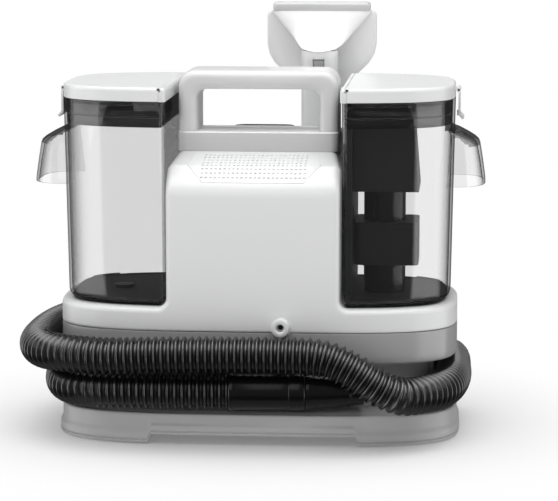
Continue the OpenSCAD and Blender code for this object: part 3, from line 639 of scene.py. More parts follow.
def make_cuff():
    """Straight collar that takes the hose, with a rolled rim at each end and two low bands."""
    p = [(13, 3), (13, -1.6), (16.6, -2.2), (18.0, -1.6), (18.6, -0.4), (18.7, 2.6), (18.4, 3.6), (18.2, 5),
         (18.3, 22), (18.5, 44), (18.6, 52), (18.5, 52.8), (18.9, 53.2), (19.1, 54), (19.2, 62), (19.3, 66),
         (19.0, 67.4), (18.3, 68), (13, 68)]
    return Skin().closed(on_grip(p)).piece(
        "hose_cuff_shell", "base", BLACK, "black_plastic", ["hose_cuff"], 50)


def make_hose_grip():
    """Tapering grip with a waist, a thumb rib and a socket mouth at its end."""
    p = [(11, 70), (16, 68.2), (18.0, 68.4), (18.4, 69.4), (18.3, 72), (17.6, 78), (17.1, 84), (16.9, 90),
         (16.4, 96), (15.6, 102), (15.1, 106), (15.4, 106.6), (15.4, 108.6), (14.8, 109.2), (14.3, 112),
         (13.9, 119), (13.6, 121.4), (13.0, 121.9), (11.2, 121.9), (11, 121), (11, 74)]
    return Skin().closed(on_grip(p)).piece(
        "hose_grip_shell", "base", BLACK, "black_plastic", ["hose_grip"], 50)


hose, hose_middle, hose_length = make_hose()
cuff, hose_hand = make_cuff(), make_hose_grip()

# ---- base ----

ARCH = 8.2                                      # height of the arch between the feet
ARCH_HALF, ARCH_STEP = 97.5, 5.0                # half width of the arch over its step, and the step's width
LIFT_LOW, LIFT_HIGH = 6.0, 26.0                 # heights between which the arch's lift fades out
TRAY_COUNT = 1200                               # points round the tray
WAIST_Z = 31.8                                  # foot of the waist
RIB_IN, RIB_OUT = 140.0, 163.4                  # ends of the waist's ribs, from the middle


def arch_lift(x):
    """How far the lower edge is raised at x: 0 over the feet, ARCH between them, with an eased step."""
    t = np.clip((ARCH_HALF - np.abs(x)) / ARCH_STEP, 0, 1)
    return ARCH * t * t * (3 - 2 * t)


def make_tray():
    """Foot tray: rings of the outline with a bead along the lower edge, which steps up over the arch, then a
    flared skirt, a soft shoulder, a rounded rim and the ledge for the hose, which rises inwards."""
    flare = HALF_W - pan_hi[0]
    bead = [(1.0, 0), (0.3, 0.3), (0, 0.9), (0, 2.0), (0.4, 2.5), (1.1, 2.8), (1.1, 3.3), (0.5, 3.7),
            (0.4, 4.6), (0.4, 8.6), (0.8, 10.0)]
    low = [(60, 8.3), (8, 8.3), (5.2, 8.3), (5.0, 1.0), (4.4, 0)] + [(flare + i, z) for i, z in bead]
    high = [(-1.4, 11.4), (-0.7, 12.6), (-0.4, 14.4), (-0.3, 18), (-0.3, 24.6), (-0.1, 26.2), (0.5, 27.1),
            (1.5, 27.6), (2.6, 27.6), (3.2, 27.2), (3.9, 27.3), (5.2, 28.2), (9, 29.4), (18, 30.8),
            (27, 31.4), (60, 31.4)]
    rows = []
    for inset, z in low + high:
        x, y = outline(inset, TRAY_COUNT).T
        fade = min(max((LIFT_HIGH - z) / (LIFT_HIGH - LIFT_LOW), 0), 1)
        rows.append(points(x, y + MID_Y, pan_lo[2] + z + arch_lift(x) * fade))
    grid = np.array(rows)
    grid[:3, :, 2] = grid[3, :, 2].max() + 0.4
    Skin().closed(grid).piece("base_tray", "base", PALE, "pale_plastic", ["base_pan"], 38)


def make_belt():
    """Upright waist behind the hose, then the grey belt that overhangs it, both rings of the outline. Short
    ribs at the ends of the waist keep the hose off it."""
    p = [(60, WAIST_Z), (WAIST, WAIST_Z), (WAIST, 34), (WAIST, 70), (WAIST - 0.6, 72.6), (WAIST - 2.2, 74.6),
         (WAIST - 5, 75.6), (3.2, BELT_Z - 0.3), (1.6, BELT_Z + 0.1), (0.5, BELT_Z + 1.0), (0, BELT_Z + 2.4),
         (0, BELT_Z + 8), (0, SPLIT_Z - 1.6), (0.1, SPLIT_Z - 0.8), (0.7, SPLIT_Z - 0.25),
         (1.4, SPLIT_Z - 0.2), (60, SPLIT_Z - 0.2)]
    skin = Skin().closed(rings(p))
    for side in (-1, 1):
        for y in (-30, 18):
            skin.closed(block(*sorted((side * RIB_IN, side * RIB_OUT)), y, y + 8, WAIST_Z, 66, 1.0))
    skin.piece("grey_belt", "base", GREY, "grey_plastic", ["lower_housing"], 40)


def make_deck():
    """White shell above the grey belt, rounded over into the deck that the tanks stand on."""
    z = SPLIT_Z + 0.25
    turn = arc(5.5, DECK_Z - 5.5, 5.5, 180, 90, 9)
    p = [(60, z), (1.2, z), (0.4, z + 0.15), (0, z + 0.7), (0, z + 2), (0, DECK_Z - 5.6)]
    p += [tuple(q) for q in turn] + [(5.8, DECK_Z), (9, DECK_Z), (60, DECK_Z)]
    Skin().closed(rings(p)).piece(
        "white_deck", "base", WHITE, "white_plastic", ["deck_shell"], 40)


# ---- column ----

SHOULDER_FRONT, SHOULDER_BACK = -38.0, 62.0     # where the roof begins to fall away, from MID_Y
EDGE_R = 5.5                                    # rounding of the column's upright edges
FILLET = 8.0                                    # hollow corner between deck and column
GRILLE_LOW, GRILLE_HIGH = 129.7, 166.3          # opening of the exhaust grille in the back
GRILLE_HALF = 50.4                              # half its width
HOOK_X, HOOK_Z = -45.0, 184.0                   # the fixed cord hook's stem
SEAM = 0.2                                      # half the gap between the column's front and back
CREASE = 50.0                                   # shoulder angle of the soft ridge
FACE_OPEN = (6, 30)                             # points of a face ring between which an opening lies
GRILLE_TURN = math.degrees(math.acos((DECK_Z + FILLET - GRILLE_LOW) / (FILLET + EDGE_R)))


def fall(deg, flat, pivot, crease=CREASE):
    """Depth and height of the shoulder at an angle from 0 to 90: a quarter ellipse from the upright face to
    the roof. Where crease is set it is flattened to a parabola below and a chord above that angle, which
    leaves a soft ridge."""
    t = np.radians(np.asarray(deg, float))
    depth, rise = pivot + (flat - pivot) * np.cos(t), np.sin(t)
    if crease:
        a = math.radians(crease)
        ridge_depth, ridge = pivot + (flat - pivot) * math.cos(a), math.sin(a)
        below = flat - (flat - ridge_depth) * (rise / ridge) ** 2
        above = ridge + (1 - ridge) * (ridge_depth - depth) / (ridge_depth - pivot)
        low = t <= a
        depth = np.where(low, 0.8 * below + 0.2 * depth, depth)
        rise = np.where(low, rise, 0.8 * above + 0.2 * rise)
    return depth, SHOULDER_Z + (ROOF_Z - SHOULDER_Z) * rise


def fall_normal(deg, flat, pivot, crease=CREASE):
    """Outward normal of the shoulder in depth and height, from the slope between two close angles."""
    d0, z0 = fall(np.asarray(deg) - 0.5, flat, pivot, crease)
    d1, z1 = fall(np.asarray(deg) + 0.5, flat, pivot, crease)
    n = np.stack([z1 - z0, d0 - d1], -1)
    return n / np.linalg.norm(n, axis=-1)[..., None]


def column_stations(crease):
    """Stations up the column: border of the front face (bx, bz), the way out to the side point, the
    rounding r between them, and the shoulder angle. The roof draws in to the collar's width."""
    out = []
    for a in np.radians([0, 11, 22, 33, 44, 55, GRILLE_TURN, 78, 90]):
        reach = FILLET + EDGE_R
        out.append(((COLUMN + FILLET - reach * np.sin(a), DECK_Z + FILLET - reach * np.cos(a)),
                    (np.sin(a), np.cos(a)), EDGE_R, 0.0))
    for z in [140, 155, GRILLE_HIGH, 185, 205, 220]:
        out.append(((COLUMN - EDGE_R, z), (1, 0), EDGE_R, 0.0))
    for deg in [0.01, 5, 10, 15, 19, 22, 27, 32, 37, 42, 46, 48.4, 50, 51.6, 54, 60, 66, 73, 80, 86, 88, 90]:
        share = max(deg - 48, 0) / 42
        r = EDGE_R + 2.0 * share
        z = float(fall(deg, HALF_D, -SHOULDER_FRONT, crease)[1])
        out.append(((COLUMN - 4.2 * share - r, z), (1, 0), r, deg))
    return out


def column_half(back, slots):
    """Closed rings of one half of the column: the face, its rounded edges, the sides back to the seam and
    the seam. slots gives the half width of the opening in the face at each shoulder angle and height."""
    crease = 0.0 if back else CREASE
    pivot = SHOULDER_BACK if back else -SHOULDER_FRONT
    sign = 1 if back else -1
    stations = column_stations(crease)
    rows = []
    for (bx, bz), (nx, nz), r, deg in stations:
        lean = fall_normal(max(deg, 0.5), HALF_D, pivot, crease) if deg else np.array([1.0, 0.0])
        w = min(slots(deg, bz), bx - 2)
        left, opening, right = np.linspace(-bx, -w, 7), np.linspace(-w, w, 25)[1:-1], np.linspace(w, bx, 7)
        face_x = np.concatenate([left, opening, right])
        face = points(face_x, fall(deg, half_depth(face_x), pivot, crease)[0], bz)
        turn = np.linspace(0, np.pi / 2, 7)[1:]
        ex = bx + nx * r * np.sin(turn)
        drop = r * (1 - np.cos(turn))
        ey = fall(deg, half_depth(ex), pivot, crease)[0] - drop * lean[0]
        edge = np.column_stack([ex, ey, bz + nz * r * np.sin(turn) - drop * lean[1]])
        x, y, z = edge[-1]
        right = np.vstack([edge, points(x, np.linspace(y, SEAM, 14)[1:], z)])
        inner = points(np.linspace(x, -x, 12)[1:-1], SEAM, z)
        ring = np.vstack([face, right, inner, (right * [-1, 1, 1])[::-1]])
        ring[:, 1] = sign * ring[:, 1] + MID_Y
        rows.append(ring)
    return np.array(rows), stations


def roof_cap(back, station):
    """Roof from the shoulder's upper end to the seam: the rounded cross-section carried straight back."""
    (bx, _), _, r, _ = station
    turn = np.linspace(np.pi / 2, 0, 7)
    x = np.concatenate([-bx - r * np.sin(turn), np.linspace(-bx, bx, 21)[1:-1], bx + r * np.sin(turn[::-1])])
    drop = r * (1 - np.cos(turn))
    z = ROOF_Z - np.concatenate([drop, np.zeros(19), drop[::-1]])
    pivot, sign = (SHOULDER_BACK, 1) if back else (-SHOULDER_FRONT, -1)
    return np.array([points(x, sign * d + MID_Y, z) for d in np.linspace(pivot, SEAM, 8)])


VENT_ANGLES = (22.0, CREASE, 86.0)              # shoulder angles of the vent's foot, ridge and top
VENT_HALVES = (46.0, 61.0, 56.0)                # half widths of the vent there
VENT_LOW, _, VENT_HIGH = VENT_ANGLES
VENT_COLUMNS, VENT_ROWS = 24, 8
VENT_SPAN = 93.4                                # between the outer columns of holes
HOLE_R = 1.15


def shoulder_point(x, deg, lift=0.0):
    """Point of the front shoulder at x and shoulder angle, lifted off along the surface normal."""
    flat, pivot = half_depth(x), -SHOULDER_FRONT
    depth, z = fall(deg, flat, pivot)
    n = fall_normal(deg, flat, pivot)
    n = np.stack([np.zeros_like(depth), -n[..., 0], n[..., 1]], -1)
    return np.stack([x + 0 * depth, MID_Y - depth, z + 0 * depth], -1) + n * np.asarray(lift)[..., None]


def vent_half(deg):
    """Half width of the vent at a shoulder angle: widest at the ridge."""
    return np.interp(deg, VENT_ANGLES, VENT_HALVES)


def column_shell(back, slots, opening):
    """One half of the column with its roof; opening picks the rings between which the skin is left open."""
    grid, stations = column_half(back, slots)
    skin = Skin().add(grid, wrap_cols=True, ends=(0,), skip=(opening(stations), FACE_OPEN))
    return skin.add(roof_cap(back, stations[-1]), outward=(0, 0, 1))


def make_column():
    """Front cover and rear housing: closed rings, with the vent and the exhaust opening left out."""
    def front_slot(deg, z):
        """The vent's half width on the shoulder, and that of its foot below it."""
        return float(vent_half(np.clip(deg, VENT_LOW, VENT_HIGH))) if z > SHOULDER_Z else VENT_HALVES[0]

    def vent_rows(stations):
        degs = np.array([s[3] for s in stations])
        return [np.where(degs >= edge)[0][0] for edge in (VENT_LOW, VENT_HIGH)]

    def grille_rows(stations):
        heights = [round(s[0][1], 3) for s in stations]
        return heights.index(round(GRILLE_LOW, 3)), heights.index(GRILLE_HIGH)

    skin = column_shell(False, front_slot, vent_rows)
    skin.piece("column_front", "base", WHITE, "white_plastic", ["front_cover"], 35)

    skin = column_shell(True, lambda deg, z: GRILLE_HALF, grille_rows)
    skin.closed(block(HOOK_X - 8, HOOK_X + 8, HALF_D + 20 + MID_Y, HALF_D + 24 + MID_Y,
                      HOOK_Z - 26, HOOK_Z + 8, 2.5))
    stem = [(7.6, -3), (7.2, -0.2), (7, 1.4), (7, 19), (7, 20.4)]
    skin.closed(spun(stem, (HOOK_X, HALF_D + MID_Y, HOOK_Z), "y", 40))
    skin.piece("column_back", "base", WHITE, "white_plastic", ["rear_housing"], 35)


def make_vent():
    """Perforated panel: a lattice of cells, each with one round hole whose wall goes down through the panel,
    framed by a smooth rim that stands a hair proud. A screen lies just behind it, paler than the shell:
    painted light that keeps the holes from reading as shaded."""
    span = VENT_SPAN / (VENT_COLUMNS - 1)
    centre_x = (np.arange(VENT_COLUMNS) - (VENT_COLUMNS - 1) / 2) * span
    centre_t = VENT_LOW + 7 + np.arange(VENT_ROWS) * (VENT_HIGH - VENT_LOW - 14) / (VENT_ROWS - 1)
    step_t = centre_t[1] - centre_t[0]
    there, back = np.linspace(-1, 1, 4, endpoint=False), np.linspace(1, -1, 4, endpoint=False)
    one = np.ones(4)
    u, v = np.concatenate([there, one, back, -one]), np.concatenate([-one, there, one, back])
    angle = np.arctan2(v, u)
    up = (0, -0.4, 1)
    skin = Skin()
    for t in centre_t:
        rate = math.hypot((HALF_D + SHOULDER_FRONT) * math.sin(math.radians(t)),
                          (ROOF_Z - SHOULDER_Z) * math.cos(math.radians(t))) * math.pi / 180
        for x in centre_x:
            loops = [shoulder_point(x + u * span / 2, t + v * step_t / 2, np.zeros(len(u)))]
            for r, lift in ((HOLE_R + 0.3, 0.0), (HOLE_R, -0.2), (HOLE_R, -0.7)):
                px, pt = x + r * np.cos(angle), t + r * np.sin(angle) / rate
                loops.append(shoulder_point(px, pt, np.full(len(u), lift)))
            skin.add(np.array(loops), wrap_cols=True, outward=up)

    # plain border between the lattice and the rim, walked round from one corner
    low_t, high_t = centre_t[0] - step_t / 2, centre_t[-1] + step_t / 2
    s = np.linspace(0, 1, 25)[:-1]
    corners = ((-1, 0, 1, 0), (1, 0, 1, 1), (1, 1, -1, 1), (-1, 1, -1, 0))
    across, along = np.hstack([(xa + (xb - xa) * s, ta + (tb - ta) * s) for xa, ta, xb, tb in corners])
    loops = []
    for share, grow, lift in ((0, 0, 0.0), (1, -1.6, 0.0), (1, -1.1, 0.28), (1, -0.3, 0.28), (1, -0.15, 0.0),
                              (1, -0.15, -2.4)):
        rim_low, rim_high = VENT_LOW - grow * 1.2, VENT_HIGH + grow * 0.9
        x_in, t_in = across * (span * VENT_COLUMNS / 2), low_t + along * (high_t - low_t)
        t_out = rim_low + along * (rim_high - rim_low)
        x_out = across * (vent_half(t_out) + grow)
        x, t = x_in + (x_out - x_in) * share, t_in + (t_out - t_in) * share
        loops.append(shoulder_point(x, t, np.full(len(x), lift)))
    skin.add(np.array(loops), wrap_cols=True, outward=up)
    skin.piece("vent_lattice", "base", WHITE, "white_plastic", ["vent_panel"], 40)

    x = np.linspace(-1, 1, 30)
    degs = np.linspace(VENT_LOW - 3, VENT_HIGH + 3, 16)

    def sheet(lift):
        """A little larger than the vent, carried along the shoulder at one lift."""
        lifts = np.full(30, lift)
        return np.array([shoulder_point(x * (vent_half(d) + 3), np.full(30, d), lifts) for d in degs])
    # painted light: the screen sits just under the holes and is paler than the shell, so the holes read lit
    screen = Skin().add(sheet(-0.9), outward=up).add(sheet(-1.4), outward=(0, 0.4, -1))
    screen.piece("vent_screen", "base", LIT_SCREEN, "white_plastic")


# ---- collar, button and handle ----

COLLAR_STEP = 5.0                               # how far the collar drops behind the handle
COLLAR_BACK = 27.0                              # back of the collar's upper slab, from MID_Y
TOOL_HOLLOW = 20.4                              # radius of the hollow round the tool
TOOL_DEPTH = 78.0                               # the tool's axis, from MID_Y
TOOL_X, TOOL_Y = 50.0, 63.0
BUTTON_Y = 42.0                                 # middle of the button, from MID_Y
BUTTON_RING, BUTTON_CAP = (57, 23), (52, 18)    # their widths and depths


def make_collar():
    """Slab under the handle with rounded corners, stepped down behind the handle, hollow round the tool. The
    upward faces of its upper slab take the brighter white: painted light.
    """
    def plan(inset, back=SHOULDER_BACK):
        """Rounded rectangle, cut back to a circle round the tool's axis."""
        ring = rect_ring(collar_lo[0] + inset, collar_hi[0] - inset, SHOULDER_FRONT + inset, back - inset,
                         max(8 - inset, 0.4), 9, 24)
        gap = np.sqrt(np.clip(TOOL_HOLLOW ** 2 - (ring[:, 0] - TOOL_X) ** 2, 0, None))
        ring[:, 1] = np.where(gap > 0, np.minimum(ring[:, 1], TOOL_DEPTH - gap - inset * 0.3), ring[:, 1])
        return ring + [0, MID_Y]
    top = collar_hi[2]
    step = top - COLLAR_STEP
    r = 1.4
    rise = [(r * (1 - math.cos(a)), top - r + r * math.sin(a)) for a in np.radians(np.linspace(0, 90, 8))]
    low = [(20, ROOF_Z), (0.8, ROOF_Z), (0.2, ROOF_Z + 0.2), (0, ROOF_Z + 0.8), (0, step), (20, step)]
    high = [(20, step), (0, step)] + rise + [(20, top)]
    skin = Skin().closed(stack(plan, low)).closed(stack(lambda i: plan(i, COLLAR_BACK), high))

    # painted light: upward faces of the upper slab are painted with the brighter white so the grey top reads
    # as lit
    def upper(middle, normal):
        return (normal[:, 2] > 0.4) & (middle[:, 2] > step + 1)
    skin.piece("top_collar", "base", GREY_TOP, "grey_plastic", ["collar"], 40, (LIT_WHITE, upper))


def ovals(size, profile):
    """Stadium rings, two half circles joined by straight sides, one per profile point (inset, z)."""
    w, d = size

    def plan(inset):
        right = arc(w / 2 - d / 2, BUTTON_Y, d / 2 - inset, -90, 90, 20)
        left = arc(-w / 2 + d / 2, BUTTON_Y, d / 2 - inset, 90, 270, 20)
        return np.vstack([right, left]) + [0, MID_Y]
    return stack(plan, profile)


def make_button():
    """Raised oval ring and the slightly dished oval button that travels inside it."""
    z = node_box("button_bezel")[1][2]
    ring = [(2.1, z - 3.6), (0, z - 3.6), (0, z + 0.4), (0.2, z + 0.75), (0.5, z + 0.9), (1.5, z + 0.9),
            (2.0, z + 0.7), (2.1, z + 0.3), (2.1, z - 3.4)]
    Skin().hoop(ovals(BUTTON_RING, ring)).piece(
        "button_ring", "base", BLACK, "dark_plastic", ["button_bezel"], 40)
    z = node_box("power_button")[1][2]
    cap = [(6, z - 3.4), (0.2, z - 3.4), (0, z - 3), (0, z - 0.9), (0.25, z - 0.3), (0.9, z), (2.0, z),
           (3.4, z - 0.25), (6, z - 0.5), (8.5, z - 0.6)]
    Skin().closed(ovals(BUTTON_CAP, cap)).piece(
        "button_cap", "button", RUBBER, "black_plastic", ["power_button"], 40)


def make_handle():
    """Arch carried along the path up one post, across and down the other: each station is a rounded
    rectangle that spans from the inner to the outer edge of the arch and over the handle's whole depth."""
    foot, bar = collar_hi[2] - 0.6, 17.5

    def edge(x, top, r):
        """Up the post, round the corner and along the bar, then the same mirrored."""
        post = np.column_stack([np.full(12, x), np.linspace(foot, top - r, 12)])[:-1]
        along = np.column_stack([np.linspace(x - r, 0, 10)[1:], np.full(9, top)])
        half = np.vstack([post, arc(x - r, top - r, r, 0, 90, 13), along])
        return np.vstack([half, (half * [-1, 1])[::-1][1:]])
    outer, inner = edge(handle_hi[0], handle_hi[2], 15), edge(handle_hi[0] - bar, handle_hi[2] - bar, 9)
    y0, y1 = handle_lo[1], handle_hi[1]
    r_out, r_in = 8.0, 7.0
    turn = np.linspace(0, 90, 7)[::-1]
    at_outer, w, y = [], [], []
    for is_outer, r, middle, first in ((True, r_out, y0 + r_out, 180), (True, r_out, y1 - r_out, 90),
                                       (False, r_in, y1 - r_in, 0), (False, r_in, y0 + r_in, -90)):
        a = np.radians(turn + first)
        at_outer += [is_outer] * len(a)
        w += list((np.abs(np.cos(a)) - 1) * r if is_outer else (1 - np.abs(np.cos(a))) * r)
        y += list(middle + np.sin(a) * r)
    across = outer - inner
    across = across / np.linalg.norm(across, axis=1)[:, None]
    base = np.where(np.array(at_outer)[None, :, None], outer[:, None], inner[:, None])
    flat = base + across[:, None] * np.array(w)[None, :, None]
    grid = np.stack([flat[..., 0], np.broadcast_to(y, flat.shape[:2]), flat[..., 1]], -1)
    Skin().closed(grid).piece("handle_arch", "base", BAR, "pale_plastic", ["carry_handle"], 45)


# ---- water port ----


def make_port():
    """Short round nozzle with a rolled rim and a stepped bore, standing in a shallow dished ring."""
    middle = (PORT_X, PORT_Y, PORT_Z)
    p = [(3.4, 9), (3.4, 1.6), (3.9, 0.5), (4.9, 0.0), (7.0, 0.0), (7.9, 0.35), (8.3, 1.2), (8.3, 7.2),
         (8.7, 8.2), (9.6, 8.0), (9.9, 9.0)]
    skin = Skin().add(spun(p, middle, "y", 72), wrap_cols=True, outward=(0, -1, 0))
    skin.piece("port_nozzle", "base", WHITE, "white_plastic", ["water_port"], 40)
    # painted shade: a black disc 8 mm down the bore makes the bore read dark
    plug = spun([(0.01, 8.0), (2.4, 8.0), (3.4, 8.4)], middle, "y", 48)
    skin = Skin().add(plug, wrap_cols=True, outward=(0, -1, 0))
    skin.piece("port_valve", "base", BLACK, "black_plastic")


# ---- tanks ----

TANK_R = 8.0                                    # rounding of a tank's foot edge
TANK_WALL = 2.5
TANK_CORNER = 4.0                               # rounding of a tank's upright inner corners
LINER_OUT, LINER_IN = 2.56, 4.5                 # the liner's faces, set in from the tank's outer wall
PIN_ROOM = 1.4                                  # how far the lid is cut back for its hinge pin
BARREL_R, BARREL_BORE = 1.8, 1.3
LID_GAP = 0.08                                  # between lid and bar at the hinge
EDGE_R_LID = 3.9                                # round upper edge of lid and bar
GRIP_ROOT = 172.0                               # how far in the grip's roof reaches


def tank_inset(z):
    """Inset of the tank's outer wall: it leans out evenly from foot to mouth."""
    return FOOT_INSET + (MOUTH_INSET - FOOT_INSET) * (z - TANK_Z) / (TANK_TOP - TANK_Z)


def wall_profile(off, z0, z1):
    """Stations (step, z, inset) of a tank wall set in by off: a round foot edge, then straight up to z1."""
    r = TANK_R - min(off, 4)
    a = np.radians(np.linspace(0, 90, 8))
    foot = [(off + r * (1 - math.sin(t)), z0 + off + r * (1 - math.cos(t))) for t in a]
    up = [(off, z) for z in np.linspace(z0 + off + r, z1, 8)[1:]]
    return [(s, z, tank_inset(z)) for s, z in foot + up]


def make_tank(side, name, body, finish, slot, stands_for):
    """Clear bucket: outer wall up, a rounded rim, inner wall down. The foot edge is an arc all round."""
    outer = wall_profile(0, TANK_Z, TANK_TOP - 0.8)
    rim = [(0.3, TANK_TOP - 0.1, MOUTH_INSET), (2.2, TANK_TOP - 0.1, MOUTH_INSET)]
    inner = wall_profile(TANK_WALL, TANK_Z, TANK_TOP - 0.8)[::-1]
    floor_out, floor_in = [(30, TANK_Z, FOOT_INSET)], [(30, TANK_Z + TANK_WALL, FOOT_INSET)]
    grid = side_rings(floor_out + outer + rim + inner + floor_in, side, TANK_IN, TANK_CORNER, 170)

    def foot(middle, normal):
        """Level faces near the foot, which take the dark finish: painted shade for the dark line the clear
        bottom shows.
        """
        return (np.abs(normal[:, 2]) > 0.75) & (middle[:, 2] < TANK_Z + 6)
    Skin().closed(grid).piece(name, body, finish, slot, stands_for, 50, (FOOT_SHADE, foot))


def make_liner(side, name, body, finish, slot, stands_for):
    """Smoked band inside the tank's mouth, with a rolled lower edge and a shallow groove round its middle,
    in which a dark cord lies."""
    z0, z1 = liner_lo[2], liner_hi[2]
    w0, w1 = LINER_OUT, LINER_IN
    band = [(w0 + 0.2, z0 + 0.1), (w0, z0 + 0.6), (w0, z0 + 8.4), (w0 + 0.5, z0 + 9.0),
            (w0 + 0.5, z0 + 10.0), (w0, z0 + 10.6), (w0, z1 - 0.4), (w0 + 0.3, z1), (w1 - 0.3, z1),
            (w1, z1 - 0.4), (w1, z0 + 0.6), (w1 - 0.3, z0)]
    cord = [(w0 + 0.45, z0 + 9.1), (w0 + 0.1, z0 + 9.1), (w0 + 0.1, z0 + 9.9), (w0 + 0.45, z0 + 9.9)]

    def hoop(profile):
        stations = [(i, z, tank_inset(z)) for i, z in profile]
        return Skin().hoop(side_rings(stations, side, TANK_IN, TANK_CORNER, 150))
    hoop(band).piece(name, body, finish, slot, stands_for, 40)
    hoop(cord).piece(name + "_cord", body, DARK, "dark_plastic")


def make_lid(side, name, body, stands_for):
    """White lid: a slab of the body's outline with a generous round upper edge and a low rim below, plus the
    hinge barrel, bored for its pin, along the inner edge."""
    z0, z1 = lid_lo[2], LID_TOP
    axis_z = z1 - BARREL_R
    turn = arc(EDGE_R_LID, z1 - EDGE_R_LID, EDGE_R_LID, 180, 90, 24)
    p = [(12, z0 + 2), (3.2, z0 + 2), (3, z0), (0.5, z0), (0, z0 + 0.5), (0, z0 + 4), (0, z1 - 4.2)]
    p += [(max(q[0], 0) * 0.75, q[1]) for q in turn] + [(6, z1), (18, z1), (40, z1)]
    channel = [PIN_ROOM if abs(z - z1 + BARREL_R) < 1.55 else 0.0 for _, z in p]
    stations = [(i, z, MOUTH_INSET, c) for (i, z), c in zip(p, channel)]
    skin = Skin().closed(side_rings(stations, side, HINGE_X + LID_GAP, 0.4, 170, 0.05))
    long = float(half_depth(HINGE_X, MOUTH_INSET)) - 1.2
    barrel = [(BARREL_BORE, -long), (1.5, -long), (BARREL_R, 0.3 - long), (BARREL_R, long - 0.3),
              (1.5, long), (BARREL_BORE, long)]
    knuckle = spun(barrel, (side * HINGE_X, MID_Y, axis_z), "y", 32)
    skin.hoop(knuckle)
    skin.piece(name, body, WHITE, "white_plastic", stands_for, 40)


def make_grip(side, name, body, finish, slot, stands_for):
    """Finger scoop: D-shaped rings, a squared half-ellipse out from the tank's wall, that grow from the
    sloping top to the open lower edge. An inner skin follows just inside."""
    top, low, end = grip_hi[2], grip_lo[2], grip_hi[0]
    heights = [(top - 0.2, 178, 38), (top - 0.5, 182, 42), (top - 2.4, 188, 44), (top - 6, 195.5, 45),
               (top - 9.5, 201.5, 45), (top - 12, 204.3, 45.2), (top - 14.5, 205.4, 45.8),
               (top - 19, 206.2, 46.6), (top - 30, 208, 48.6), (top - 42, 209.7, 50.6),
               (low + 3.5, end - 0.1, 51.6), (low, end, 52)]
    steps = 61
    phi = np.linspace(-np.pi / 2, np.pi / 2, steps)
    power = 2 / 3.4

    def rows(off):
        """Rings set in by off."""
        out = []
        for z, reach, half in heights:
            h = half - off
            y = h * np.sign(np.sin(phi)) * np.abs(np.sin(phi)) ** power
            share = (np.abs(y) / (HALF_D - tank_inset(z))) ** SQUARE
            wall = (HALF_W - tank_inset(z)) * np.clip(1 - share, 0, 1) ** (1 / SQUARE)
            x = wall - 0.5 + (reach - off - wall[steps // 2]) * np.abs(np.cos(phi)) ** power
            drop = off if z > top - 20 else off * 0.2
            out.append(points(side * x, y + MID_Y, z - drop if z > low + 0.1 else z))
        return np.array(out)
    outer, inner = rows(0.0), rows(2.4)
    lip = (outer[-1] + inner[-1]) / 2
    grid = np.vstack([outer, lip[None], inner[::-1]])
    skin = Skin().add(grid, outward=(side, 0, 0.2))
    for k in (0, -1):
        skin.add(np.stack([outer[:, k], inner[:, k]], 1), outward=(-side, 0, 0))
    roof = np.stack([outer[0], points(side * GRIP_ROOT, outer[0][:, 1], outer[0][:, 2] - 0.1)])
    skin.add(roof, outward=(0, 0, 1))

    # painted shade: upward faces near the top take the darker crown finish, where the top looks dark through
    # the plastic
    def crown_faces(middle, normal):
        return (normal[:, 2] > 0.3) & (middle[:, 2] > top - 16)
    skin.piece(name, body, finish, slot, stands_for, 50, (CROWN_SHADE, crown_faces))


def make_rail(side, name, body, stands_for):
    """Fixed rail beside the lid: a long bar from front to back with round ends and upper edges, rebated for
    the lid's barrel."""
    x0, z0, z1 = TANK_IN - 1.6, TANK_TOP + 0.1, LID_TOP
    low, high = HINGE_X - LID_GAP, HINGE_X - 2.0
    arch = arc(EDGE_R_LID, z1 - EDGE_R_LID, EDGE_R_LID, 180, 90, 8)
    turn = [(q[0] * 0.75, q[1], high) for q in arch]
    foot = [(2, z0, low), (0.4, z0, low), (0, z0 + 0.4, low), (0, z1 - 4.0, low)]
    rows = []
    for inset, z, x1 in foot + turn + [(3.4, z1, high)]:
        reach = float(half_depth(low, MOUTH_INSET)) - inset
        ring = rect_ring(x0 + inset, x1, -reach, reach, 0.4, 5, 16)
        front = np.clip((x0 + inset + 2.0 - ring[:, 0]) / 2.0, 0, 1)
        ring[:, 1] -= np.sign(ring[:, 1]) * 1.6 * front ** 2 * (np.abs(ring[:, 1]) > reach - 2)
        rows.append(points(side * ring[:, 0], ring[:, 1] + MID_Y, z))
    skin = Skin().closed(np.array(rows))
    skin.piece(name, body, WHITE, "white_plastic", stands_for, 45)


def make_tanks():
    """Both tanks with their liners, grips, rails and lids; the clean one is at the left."""
    for side, kind, wall, slot in ((-1, "clean", CLEAR, "clear_plastic"),
                                   (1, "dirty", SMOKE, "smoked_plastic")):
        body = kind + "_water_tank"
        make_tank(side, kind + "_bucket", body, wall, slot, [kind + "_tank"])
        make_liner(side, kind + "_band", body, LINER, "smoked_plastic", [kind + "_liner"])
        make_grip(side, kind + "_scoop", body, wall, slot, [kind + "_grip"])
        make_rail(side, kind + "_bar", body, [kind + "_rail"])
        make_lid(side, kind + "_cover", kind + "_tank_lid", [kind + "_lid"])


# ---- hand tool ----

NECK_R, NECK_BORE = 17.4, 12.5
EAR_LOW, EAR_HIGH = 306.5, 313.5                # ears that hold the trigger
PAD_ROOM = ((4, 5), (67, 77))                   # rows and columns of the neck that the release pad stands in


